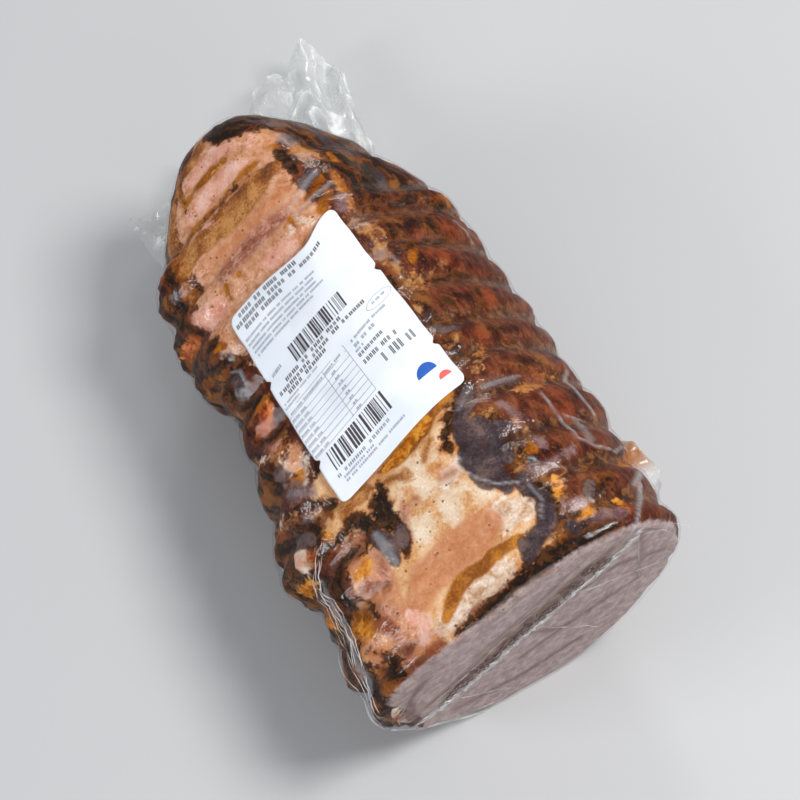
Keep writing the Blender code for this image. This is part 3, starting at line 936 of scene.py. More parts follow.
@dataclass(frozen=True)
class MeatFinish:
    """The meat: brown crust, and every other tone painted over it. Sizes are in mm."""

    crust: tuple[tuple[float, Colour], ...] = (
        (0.34, srgb(28, 11, 6)),
        (0.43, srgb(66, 27, 15)),
        (0.52, srgb(100, 47, 27)),
        (0.64, srgb(134, 74, 44)),
    )
    rust: Colour = srgb(106, 46, 22)
    rust_step: Triple = (0.53, 0.66, 0.45)  # start, end and top of its step
    gold: Colour = srgb(190, 130, 68)
    gold_step: Triple = (0.6, 0.72, 0.28)
    vein_step: Triple = (0.02, 0.0, 0.4)
    coarse_size: float = 11.0
    swirl_size: float = 4.5
    fine_size: float = 1.3
    fibre_size: float = 3.0
    fibre_stretch: Triple = (1.0, 0.3, 1.0)
    crust_shares: Pair = (0.55, 0.45)  # of the coarse noise and of the fibre
    mottle_shares: Pair = (0.7, 0.3)  # of a large noise and the fine one
    fray: float = 0.4  # share of the fine noise in a tone's edge
    fray_middle: float = 0.7  # middle of that sum
    edge_gain: float = 5.0  # brings the noise to an edge's full height
    middle: float = 0.49  # where the noise takes the middle shade
    halo_cover: float = 0.85
    pepper: Colour = srgb(104, 58, 28)
    pepper_step: Triple = (0.44, 0.54, 0.75)
    small_specks: Pair = (2.4, 0.34)  # pitch, and largest radius as its share
    large_specks: Pair = (9.0, 0.1)
    speck_sizes: Pair = (0.35, 0.95)
    speck_edge: float = 0.08
    roughness: float = 0.5
    grain_shares: Pair = (0.6, 0.8)  # of the fine noise and of the swirl
    grain_depth: float = 0.5
    grain_strength: float = 0.7
    specular: float = 0.05

    def specks(self, graph: Graph, spacing: float, most: float) -> Socket:
        """Round specks of random sizes.

        Args:
            graph: the material.
            spacing: distance between them in mm.
            most: radius of the largest, as a share of the spacing.

        Returns:
            1 in a speck, 0 outside.
        """
        inputs = {"Vector": graph.place, "Scale": 1 / (spacing * MM)}
        cells = graph.add("ShaderNodeTexVoronoi", inputs)
        size = graph.step(cells.outputs["Color"], *self.speck_sizes, most)
        inside = graph.math("SUBTRACT", size, cells.outputs["Distance"])
        return graph.step(inside, 0.0, self.speck_edge)

    def bare_crust(self, graph: Graph, coarse: Socket, swirl: Socket, fine: Socket) -> Socket:
        """The crust where no other tone lies: brown, with rusty and golden spots and dark veins.

        Args:
            graph: the material.
            coarse: noise of large features.
            swirl: noise of middling features.
            fine: noise of small features.

        Returns:
            The crust's colour.
        """
        fibre = graph.noise(self.fibre_size, 5.0, graph.stretched(self.fibre_stretch), warp=0.6)
        mixed = graph.sum_of(coarse, self.crust_shares[0], fibre, self.crust_shares[1])
        colour = graph.blend(mixed, self.crust)
        colour = graph.mix(graph.step(swirl, *self.rust_step), colour, self.rust)
        colour = graph.mix(graph.step(fine, *self.gold_step), colour, self.gold)
        from_vein = graph.math("ABSOLUTE", graph.math("SUBTRACT", fibre, 0.5))
        return graph.mix(graph.step(from_vein, *self.vein_step), colour, self.crust[0][1])

    def painted(self, graph: Graph, colour: Socket, noises: Sequence[Socket], fine: Socket) -> Socket:
        """Paint every tone over the crust.

        Args:
            graph: the material.
            colour: the crust's colour.
            noises: noise of middling features and of large ones, which the tones take in turn.
            fine: noise of small features.

        Returns:
            The colour.
        """
        frays = [
            graph.math("SUBTRACT", graph.sum_of(noise, 1.0, fine, self.fray), self.fray_middle)
            for noise in noises
        ]
        mottles = [
            graph.sum_of(noise, self.mottle_shares[0], fine, self.mottle_shares[1]) for noise in noises
        ]
        for index, (tone, finish) in enumerate(TONE_FINISHES.items()):
            edge = graph.math("MULTIPLY", frays[index % 2], self.edge_gain * finish.edge)
            inside = graph.math("ADD", graph.layer(tone.value), edge)
            if finish.halo:
                rim = graph.step(inside, -finish.halo_width, 0.0, self.halo_cover)
                colour = graph.mix(rim, colour, srgb(*finish.halo))
            share = graph.step(inside, -finish.soft, finish.soft, finish.cover)
            places = (self.middle - finish.spread, self.middle, self.middle + finish.spread)
            stops = [(place, srgb(*shade)) for place, shade in zip(places, finish.shades)]
            colour = graph.mix(share, colour, graph.blend(mottles[index % 2], stops))
        return colour

    def build(self) -> Material:
        """Build the material.

        Returns:
            The material.
        """
        graph = Graph("roast_meat")
        coarse = graph.noise(self.coarse_size, 6.0, warp=0.3)
        swirl = graph.noise(self.swirl_size, 6.0, warp=0.5)
        fine = graph.noise(self.fine_size, 4.0, warp=0.3)
        colour = self.bare_crust(graph, coarse, swirl, fine)
        colour = self.painted(graph, colour, (swirl, coarse), fine)
        patchy = graph.step(swirl, *self.pepper_step)
        small = graph.math("MULTIPLY", self.specks(graph, *self.small_specks), patchy)
        speck = graph.math("MAXIMUM", small, self.specks(graph, *self.large_specks))
        colour = graph.mix(graph.math("MULTIPLY", speck, graph.layer("peppered")), colour, self.pepper)
        height = graph.sum_of(fine, self.grain_shares[0], swirl, self.grain_shares[1])
        inputs = {
            "Base Color": colour,
            "Roughness": self.roughness,
            "Normal": graph.bump(height, self.grain_depth, self.grain_strength),
            "Specular IOR Level": self.specular,
        }
        return graph.finish(graph.add("ShaderNodeBsdfPrincipled", inputs))


@dataclass(frozen=True)
class FilmFinish:
    """Clear glossy film, milky where it is folded or stands off what is under it, and whitish along painted
    highlight lines that its haze carries.
    """

    name: str = "clear_film"
    haze: Colour = srgb(214, 216, 220)
    juice: Colour = srgb(176, 108, 18)
    clear: Colour = (0.98, 0.98, 0.98, 1.0)
    gloss_roughness: float = 0.09
    haze_roughness: float = 0.22
    ripple_size: float = 5.0  # in mm, as is its depth
    ripple_depth: float = 0.45
    tooth: float = 0.3  # height of the small ripples over the large
    tooth_share: float = 4.0  # how much smaller they are
    face_gloss: float = 0.025  # light thrown back where seen face on
    edge_gloss: float = 0.6  # and how much more edge on
    falloff: float = 8.0
    juiced: bool = False

    def build(self) -> Material:
        """Build the material.

        Returns:
            The material.
        """
        graph = Graph(self.name)
        large = graph.noise(self.ripple_size, 2.0)
        ripple = graph.sum_of(large, 1.0, graph.noise(self.ripple_size / self.tooth_share, 2.0), self.tooth)
        normal = graph.bump(ripple, self.ripple_depth)
        see = graph.add("ShaderNodeBsdfTransparent", {"Color": self.clear})
        gloss_inputs = {"Roughness": self.gloss_roughness, "Normal": normal}
        gloss = graph.add("ShaderNodeBsdfGlossy", gloss_inputs)
        facing = graph.add("ShaderNodeLayerWeight", {"Blend": 0.5, "Normal": normal}).outputs["Facing"]
        edge_on = graph.math("MULTIPLY", graph.math("POWER", facing, self.falloff), self.edge_gloss)
        share = graph.math("ADD", edge_on, self.face_gloss, clamp=True)
        film = graph.add("ShaderNodeMixShader", {0: share, 1: see.outputs[0], 2: gloss.outputs[0]})
        colour: Colour | Socket = self.haze
        if self.juiced:
            colour = graph.mix(graph.layer("juiced"), self.haze, self.juice)
        milk_inputs = {"Base Color": colour, "Roughness": self.haze_roughness, "Normal": normal}
        milk = graph.add("ShaderNodeBsdfPrincipled", milk_inputs)
        inputs = {0: graph.layer("haze"), 1: film.outputs[0], 2: milk.outputs[0]}
        return graph.finish(graph.add("ShaderNodeMixShader", inputs))


@dataclass(frozen=True)
class PaperFinish:
    """Satin white paper with a faint tooth. Sizes are in mm."""

    colour: Colour = srgb(240, 245, 251)
    shade: Colour = srgb(228, 235, 244)
    roughness: float = 0.38
    cloud_size: float = 22.0
    tooth_size: float = 0.35
    tooth_depth: float = 0.05
    tooth_strength: float = 0.5

    def build(self) -> Material:
        """Build the material.

        Returns:
            The material.
        """
        graph = Graph("label_paper")
        cloud = graph.step(graph.noise(self.cloud_size, 2.0), 0.35, 0.65)
        colour = graph.mix(cloud, self.shade, self.colour)
        normal = graph.bump(graph.noise(self.tooth_size, 2.0), self.tooth_depth, self.tooth_strength)
        inputs = {"Base Color": colour, "Roughness": self.roughness, "Normal": normal}
        return graph.finish(graph.add("ShaderNodeBsdfPrincipled", inputs))


@dataclass(frozen=True)
class InkFinish:
    """Printing ink, slightly uneven as a thermal print is."""

    name: str
    colour: Colour
    pale: Colour
    wear_size: float = 1.1  # in mm
    wear_step: Triple = (0.5, 0.75, 0.6)
    roughness: float = 0.45

    def build(self) -> Material:
        """Build the material.

        Returns:
            The material.
        """
        graph = Graph(self.name)
        worn = graph.step(graph.noise(self.wear_size, 2.0), *self.wear_step)
        inputs = {"Base Color": graph.mix(worn, self.colour, self.pale), "Roughness": self.roughness}
        return graph.finish(graph.add("ShaderNodeBsdfPrincipled", inputs))


def depth_inside(place: Array, strokes: Sequence[Stroke]) -> Array:
    """How deep points lie inside the nearest of some strokes.

    Args:
        place: points in the strokes' plane, in mm.
        strokes: the strokes, in mm.

    Returns:
        The depth in mm, negative outside.
    """
    best = np.full(len(place), FAR_OUTSIDE)
    for stroke in strokes:
        points = np.array(stroke if len(stroke) > 1 else stroke * 2, float)
        for start, end in zip(points[:-1], points[1:]):
            run = end[:2] - start[:2]
            away = place - start[:2]
            share = np.clip(away @ run / max(run @ run, 1e-9), 0, 1)
            gap = np.linalg.norm(away - share[:, None] * run, axis=1)
            best = np.maximum(best, (start[2] + share * (end[2] - start[2])) / 2 - gap)
    return best


def follow(points: Array, share: Array) -> Array:
    """Follow a run of points, straight from each to the next.

    Args:
        points: the points, one a row.
        share: how far along them, 1 from each to the next.

    Returns:
        The places, one a row.
    """
    return np.stack([np.interp(share, range(len(points)), column) for column in points.T], -1)


def soft_step(depth: Array, soft: float, least: float = 0.0) -> Array:
    """A soft step from a least value up to 1 where a depth passes 0."""
    return np.clip(depth / soft + 0.5, least, 1)


@dataclass(frozen=True)
class FilmForm:
    """How the film lies over the meat: heights and widths in mm, sizes of noise in metres."""

    rise: float = 0.28
    bridge_top: float = 0.62  # share of a groove that the film follows on top
    bridge_side: float = 0.55  # and on the sides
    top_middle: float = 105.0  # middle of the top, in degrees
    top_reach: float = 55.0
    fold_edge: float = 1.2
    fold_crinkle: float = 0.002
    pleat_size: float = 0.016
    pleat_stretch: Triple = (1.0, 2.6, 1.0)
    pleat_height: float = 0.7
    pleat_haze: float = 0.1
    deep_groove: float = 0.003  # where a groove has all its pleats
    crease_width: float = 1.2
    crease_crinkle: float = 0.0028
    crease_height: float = 1.3
    crease_haze: float = 0.75
    wave_size: float = 0.02
    wave_stretch: Triple = (1.0, 1.0, 0.35)
    wave_height: float = 0.35
    wave_middle: float = 0.6


@dataclass
class PackedMeat:
    """The roast and the film drawn tight over it, both on the same net of points."""

    form: RoastForm
    columns: int = 300
    face_rows: int = 60
    rim_rows: int = 8
    body_rows: int = 206
    tip_rows: int = 20
    seam: float = math.radians(-90)
    degree: float = 1.22  # arc of one degree, in mm
    meat_gap: float = 0.0005
    film_gap: float = 0.00022
    meat_floor: float = 0.0004  # least height over the floor, as is the film's
    film_floor: float = 0.0001
    rim_survey: int = 72
    chart_start: float = -60.0  # lowest angle of a stroke, in degrees
    cut_rim: float = 0.001  # how far its colour reaches round the rim
    groove_reach: float = 1.1  # width of the grooves' painted shade stripe, as a share
    groove_edge: float = 0.6
    groove_shade: Pair = (6.0, 4.0)  # depth of the grooves' painted shade on the flank, and how far it sinks off it
    crag_size: float = 0.013
    crag_heights: Triple = (0.15, 0.9, 1.5)  # all over, flank and dark side, in mm
    grain_size: float = 0.004
    grain_heights: Quad = (0.08, 0.3, 0.5, 0.4)  # the same, and the char
    char_edge: float = 3.0
    char_sink: float = 0.5
    tone_edge: float = 2.0
    pepper_edge: float = 4.0
    label_centre: Pair = (143.5, 112.5)  # in mm and degrees
    label_reach: Pair = (56.0, 38.0)  # in mm
    label_edge: float = 6.0
    label_calm: float = 0.15  # relief left there, and on the cut face
    face_calm: float = 0.1
    hidden_angles: Pair = (205.0, 368.0)  # the sides that the photo doesn't show
    hidden_patches: int = 150
    hidden_seed: int = 23
    hidden_distances: Pair = (6, 280)  # in mm, as are the widths and the drift
    hidden_widths: Pair = (4, 12)
    hidden_drift: float = 5.0
    hidden_turn: float = 16.0  # in degrees
    hidden_taper: float = 0.6
    hidden_tones: tuple[Tone, ...] = (
        Tone.GOLD, Tone.UMBER, Tone.TAN, Tone.CHAR, Tone.UMBER, Tone.RUST, Tone.AMBER, Tone.LILAC_SHEEN,
    )
    film: FilmForm = FilmForm()
    noise: Noise = field(default_factory=lambda: Noise(7))

    def net(self, name: str) -> Piece:
        """Add the grid and read where its points lie on the form.

        Args:
            name: the piece's name.

        Returns:
            The new piece, still flat.
        """
        rows = self.face_rows + self.rim_rows + self.body_rows + self.tip_rows
        piece = grid(name, self.columns, rows)
        share = points_of(piece)
        turns = np.linspace(0, math.pi / 2, self.rim_rows + 1)
        tips = np.linspace(0, math.pi / 2, self.tip_rows + 1)
        half_dome = self.form.dome_length / 2
        runs = np.concatenate([
            np.linspace(-1, 0, self.face_rows + 1)[:-1],
            self.form.rim_round * (1 - np.cos(turns))[:-1],
            np.linspace(self.form.rim_round, self.form.length - half_dome, self.body_rows + 1),
            self.form.length - half_dome * (1 - np.sin(tips))[1:],
        ])
        run = runs[np.rint(share[:, 1] * rows).astype(int)]
        self.inward = np.clip(1 + run, 0, 1) * (run < 0) + (run >= 0)
        self.distance = np.maximum(run, 0)
        self.angle = self.seam + 2 * math.pi * share[:, 0]
        self.on_face = run < 0
        return piece

    def places(self, rise: Array, floor: float) -> Array:
        """The net's points at a height over the form, the cut face's among them.

        Args:
            rise: the height at each point, in metres.
            floor: lowest place of a point over the floor.

        Returns:
            The points.
        """
        points = self.form.point(self.distance, self.angle, rise)
        face = self.on_face
        turns = np.linspace(0, 2 * math.pi, self.rim_survey, endpoint=False)
        centre = self.form.point(np.zeros(self.rim_survey), turns).mean(axis=0)
        flat = centre + (points[face] - centre) * self.inward[face, None]
        flat[:, 1] = points[face, 1]
        points[face] = flat
        points[:, 2] = np.maximum(points[:, 2], floor)
        return points

    def chart(self) -> tuple[Array, Array]:
        """Lay the net's points out in the strokes' planes.

        Returns:
            The points on the sides and those on the cut face, in mm.
        """
        degrees = np.degrees(self.angle)
        degrees = np.where(degrees < self.chart_start, degrees + 360, degrees)
        side = np.stack([self.distance * PER_METRE, degrees * self.degree], -1)
        plain = self.places(np.zeros(len(side)), 0.0)
        face = np.stack([plain[:, 0] - self.form.shift[0], plain[:, 2]], -1) * PER_METRE
        return side, face

    def on_side(self, strokes: Sequence[Stroke]) -> Array:
        """Depth inside strokes given as distance, angle and width."""
        scaled = [tuple((d, a * self.degree, w) for d, a, w in stroke) for stroke in strokes]
        return np.where(self.on_face, FAR_OUTSIDE, depth_inside(self.side, scaled))

    def hidden_strokes(self) -> dict[Tone, list[Stroke]]:
        """Draw seeded patches for the sides that the photo doesn't show.

        Returns:
            The patches' strokes, for each tone.
        """
        rng = np.random.default_rng(self.hidden_seed)
        found: dict[Tone, list[Stroke]] = {tone: [] for tone in Tone}
        for index in range(self.hidden_patches):
            distance = rng.uniform(*self.hidden_distances)
            angle = rng.uniform(*self.hidden_angles)
            angle = angle - 360 if angle > 360 + self.chart_start else angle
            width = rng.uniform(*self.hidden_widths)
            turn = rng.uniform(-1, 1) * self.hidden_turn
            drift = rng.uniform(-self.hidden_drift, self.hidden_drift)
            end = (distance + drift, angle + turn, width * self.hidden_taper)
            found[self.hidden_tones[index % len(self.hidden_tones)]].append(((distance, angle, width), end))
        return found

    def masks(self) -> dict[Tone, Array]:
        """Measure how deep every point lies inside every tone.

        Returns:
            The depth in mm, for each tone.
        """
        hidden = self.hidden_strokes()
        masks = {}
        for tone in Tone:
            masks[tone] = self.on_side([*TONE_STROKES.get(tone, ()), *hidden[tone]])
        # painted shade: a dark stripe along the strings' grooves, strongest on the flank
        width = self.form.groove_width * self.groove_reach
        rows = self.form.string_rows(self.distance, self.angle, width)
        flank = self.form.share_of(self.angle, self.form.flank_side)
        depth, sink = self.groove_shade
        stripes = (rows - self.groove_edge) * depth * flank - sink * (1 - flank)
        masks[Tone.GROOVE_SHADE] = np.where(self.on_face, FAR_OUTSIDE, stripes)
        rim = (self.cut_rim - self.distance) * PER_METRE
        bare = depth_inside(self.face, paths(BARE_END))
        masks[Tone.CUT] = np.minimum(np.where(self.on_face, -FAR_OUTSIDE, rim), -bare)
        for tone, strokes in CUT_STROKES.items():
            masks[tone] = np.where(self.on_face, depth_inside(self.face, strokes), masks[tone])
        return masks

    def relief(self, masks: dict[Tone, Array]) -> Array:
        """Height of the meat's own crags over its grooved form.

        Args:
            masks: depth of every point inside every tone, in mm.

        Returns:
            The height in metres.
        """
        points = self.places(np.zeros(len(self.side)), 0.0)
        flank = self.form.share_of(self.angle, self.form.flank_side)
        dark = self.form.share_of(self.angle, self.form.dark_side)
        char = soft_step(masks[Tone.CHAR], self.char_edge)
        all_over, on_flank, on_dark = self.crag_heights
        crags = all_over + on_flank * flank + on_dark * dark
        height = crags * self.noise.layered(points, self.crag_size, 3)
        all_over, on_flank, on_dark, on_char = self.grain_heights
        grain = all_over + on_flank * flank + on_dark * dark + on_char * char
        height += grain * self.noise.layered(points, self.grain_size, 2)
        height -= self.char_sink * char
        for tone, lift in RAISED_TONES:
            height += lift * soft_step(masks[tone], self.tone_edge)
        return height * MM * self.calm()

    def calm(self) -> Array:
        """How much relief the net may have.

        Returns:
            1 on the open sides, and less on the cut face and under the label.
        """
        centre = np.array([self.label_centre[0], self.label_centre[1] * self.degree])
        away = np.abs(self.side - centre) - np.array(self.label_reach)
        outside = soft_step(away.max(axis=1), self.label_edge, self.label_calm)
        return np.where(self.on_face, self.face_calm, outside)

    def folded(self, points: Array, rise: Array) -> tuple[Array, Array]:
        """Raise the film's folds, and paint their haze, which along most of them is painted highlight.

        Args:
            points: the net's points on the form.
            rise: height of the film without them, in metres.

        Returns:
            The height with them, and their haze.
        """
        haze = np.zeros(len(points))
        # the haze of most folds paints whitish highlight lines and glints on the film
        for stroke, height, milk in FOLDS_AND_GLINTS:
            inside = soft_step(self.on_side(paths(stroke)), self.film.fold_edge) ** 2
            crinkle = 0.7 + 0.6 * self.noise.at(points, self.film.fold_crinkle)
            rise = rise + height * MM * inside * crinkle
            haze = np.maximum(haze, milk * inside)
        return rise, haze

    def film_rise(self, meat: Array, groove: Array) -> tuple[Array, Array]:
        """Height of the film over the form, and its haze.

        Args:
            meat: height of the meat over the ungrooved form.
            groove: depth of the strings' grooves.

        Returns:
            The film's height and its haze.
        """
        film = self.film
        points = self.places(np.zeros(len(self.side)), 0.0)
        top = np.exp(-((self.form.between(self.angle, film.top_middle) / film.top_reach) ** 6))
        bridge = film.bridge_side + (film.bridge_top - film.bridge_side) * top
        rise, haze = self.folded(points, -bridge * groove + film.rise * MM)
        pleats = self.noise.creased(points * film.pleat_stretch, film.pleat_size, 2) ** 6
        deep = np.clip(groove / film.deep_groove, 0, 1)
        rise += film.pleat_height * MM * pleats * deep * self.calm()
        haze = np.maximum(haze, film.pleat_haze * pleats * deep)
        crease = depth_inside(self.face, (CREASE,))
        ridge = np.where(self.on_face, np.exp(-np.maximum(-crease, 0) / film.crease_width), 0)
        crinkle = np.clip(0.5 + self.noise.at(points, film.crease_crinkle), 0, 1)
        rise += film.crease_height * MM * ridge * crinkle
        haze = np.maximum(haze, film.crease_haze * ridge * crinkle**2)
        waves = self.noise.at(points * film.wave_stretch, film.wave_size)
        rise += np.where(self.on_face, film.wave_height * MM * (film.wave_middle + waves), 0)
        return np.maximum(rise, meat + self.film_gap), haze

    def build(self) -> tuple[Piece, Piece]:
        """Build the meat and the film.

        Returns:
            The meat and the film.
        """
        meat = self.net("roast_meat")
        self.side, self.face = self.chart()
        masks = self.masks()
        scale = self.form.dome(self.distance)[0]
        groove = np.where(self.on_face, 0, self.form.groove_depth(self.distance, self.angle)) * scale
        height = self.relief(masks) - groove - self.meat_gap
        for tone, mask in masks.items():
            paint(meat, tone.value, np.clip(mask, FAR_OUTSIDE, -FAR_OUTSIDE))
        pale = np.maximum.reduce([masks[tone] for tone in (Tone.ROASTED, Tone.ROSE, Tone.CREAM)])
        peppered = np.where(self.on_face, 0.0, np.clip(pale / self.pepper_edge, 0, 1))
        paint(meat, "peppered", peppered)
        move(meat, self.places(height, self.meat_floor))
        weld(meat)
        film = self.net("film_skin")
        rise, haze = self.film_rise(height, groove)
        paint(film, "haze", haze)
        move(film, self.places(rise, self.film_floor))
        weld(film)
        return dress(meat, MeatFinish().build()), dress(film, FilmFinish().build())


@dataclass
class BagTail:
    """The bag's crumpled tail behind the dome, and its corner that stands out from the flank."""

    shift: Pair
    root: tuple[Triple, ...] = ((-0.05, 0.098, 0.046), (0.02, 0.128, 0.046), (0.074, 0.11, 0.04))
    edge: tuple[Triple, ...] = (
        (-0.047, 0.171, 0.014), (0.034, 0.202, 0.022), (0.09, 0.226, 0.018), (0.086, 0.15, 0.02),
    )
    fold_height: float = 0.0062
    folds: float = 4.5
    fan: float = 2.2
    creases: Pair = (9.0, -11.0)
    flat_share: float = 0.3
    columns: int = 160
    rows: int = 100
    layer_gap: float = 0.0035
    ear_place: Triple = (0.069, -0.113, 0.083)
    ear_length: float = 0.04
    ear_reach: float = 0.019
    ear_grid: tuple[int, int] = (48, 30)
    ear_wave: float = 0.003
    ear_crush: Pair = (0.009, 0.0035)  # size and height
    ear_ruffle: Pair = (0.005, 0.0012)
    ear_haze: Triple = (0.2, 0.5, 0.8)  # all over, on the jelly and on creases
    crush: Pair = (0.026, 0.0085)
    crush_stretch: Triple = (1.0, 0.55, 1.0)
    ruffle: Pair = (0.012, 0.002)
    fine_size: float = 0.01
    fine_stretch: Triple = (1.0, 0.5, 1.0)
    stain_size: float = 0.03
    stain_stretch: Triple = (1.6, 0.5, 1.0)
    haze: Triple = (0.1, 1.0, 0.9)  # all over, on large and on fine creases
    most_haze: float = 0.92
    layer_shift: float = 40.0  # between the layers' noises, per lift
    floor_gap: float = 0.0004  # least height over the floor
    noise: Noise = field(default_factory=lambda: Noise(31))

    @staticmethod
    def through(points: Sequence[Sequence[float]], share: Array) -> Array:
        """Follow a smooth run through evenly spaced points.

        Args:
            points: the points.
            share: how far along the run, from 0 to 1.

        Returns:
            The places, one a row.
        """
        last = len(points) - 1
        total = np.zeros((len(share), 3))
        for index, point in enumerate(points):
            weight = np.ones(len(share))
            for other in range(last + 1):
                if other != index:
                    weight *= (share * last - other) / (index - other)
            total += weight[:, None] * np.array(point)
        return total

    def sheet(self, name: str, lift: float) -> Piece:
        """One layer of the tail.

        Args:
            name: the piece's name.
            lift: height over the middle of the tail, in metres.

        Returns:
            The layer.
        """
        piece = grid(name, self.columns, self.rows)
        share = points_of(piece)
        u, v = share[:, 0], share[:, 1]
        root, edge = self.through(self.root, u), self.through(self.edge, u)
        points = root + (edge - root) * v[:, None]
        fold = np.sin(2 * math.pi * self.folds * u + self.fan * v)
        fold += 0.5 * np.sin(self.creases[0] * u + self.creases[1] * v)
        points[:, 2] += self.fold_height * fold * np.minimum(1, self.flat_share + v)
        seedy = points + lift * self.layer_shift
        crush = self.noise.creased(seedy * self.crush_stretch, self.crush[0], 3)
        points[:, 2] += self.crush[1] * (crush - 0.5) + lift * np.sqrt(np.clip(1 - v, 0, 1))
        for axis in range(2):
            points[:, axis] += self.ruffle[1] * self.noise.at(seedy + axis, self.ruffle[0])
        points[:, 2] = np.maximum(points[:, 2], self.floor_gap)
        points[:, :2] += self.shift
        fine = self.noise.creased(seedy * self.fine_stretch, self.fine_size, 2)
        least, on_crush, on_fine = self.haze
        haze = np.clip(least + on_crush * crush**7 + on_fine * fine**8, 0, self.most_haze)
        paint(piece, "haze", haze)
        stains = self.noise.creased(seedy * self.stain_stretch, self.stain_size, 1) ** 7
        paint(piece, "juiced", np.clip(stains * np.clip(1.6 - v, 0, 1), 0, 1))
        move(piece, points)
        return piece

    def ear(self) -> Piece:
        """The bag's corner, a small crumpled fold with a little jelly in it.

        Returns:
            The corner.
        """
        piece = grid("bag_corner", *self.ear_grid)
        share = points_of(piece)
        u, v = share[:, 0], share[:, 1]
        reach = self.ear_reach * v * (1 - 0.75 * np.abs(2 * u - 1) ** 1.5)
        wave = self.ear_wave * np.sin(3 * math.pi * u) * v
        steps = np.stack([0.86 * reach, self.ear_length * (u - 0.5), 0.16 * reach + wave], -1)
        points = np.array(self.ear_place) + steps
        crush = self.noise.creased(points + 3, self.ear_crush[0], 2)
        points[:, 2] += self.ear_crush[1] * (crush - 0.5) * v
        points[:, 0] += self.ear_ruffle[1] * self.noise.at(points + 5, self.ear_ruffle[0]) * v
        points[:, :2] += self.shift
        jelly = np.clip(4.0 * (u - 0.34), 0, 1) * np.clip(2.4 - 1.6 * v, 0, 1)
        least, on_jelly, on_crush = self.ear_haze
        haze = np.clip(least + on_jelly * jelly + on_crush * crush**4, 0, self.most_haze)
        paint(piece, "haze", haze)
        paint(piece, "juiced", jelly)
        move(piece, points)
        return piece

    def build(self) -> list[Piece]:
        """Build both layers of the tail and the corner.

        Returns:
            The pieces.
        """
        gap = self.layer_gap
        pieces = [self.sheet("bag_tail_upper", gap), self.sheet("bag_tail_lower", -gap), self.ear()]
        finish = FilmFinish("tail_film", juiced=True, ripple_size=6.0, haze=srgb(236, 240, 238)).build()
        return [dress(piece, finish) for piece in pieces]


@dataclass(frozen=True)
class Gather:
    """How thick and how milky one kind of gathered film is."""

    scale: float  # thickness of its strands, as a share
    haze: float
    strands: int = 3


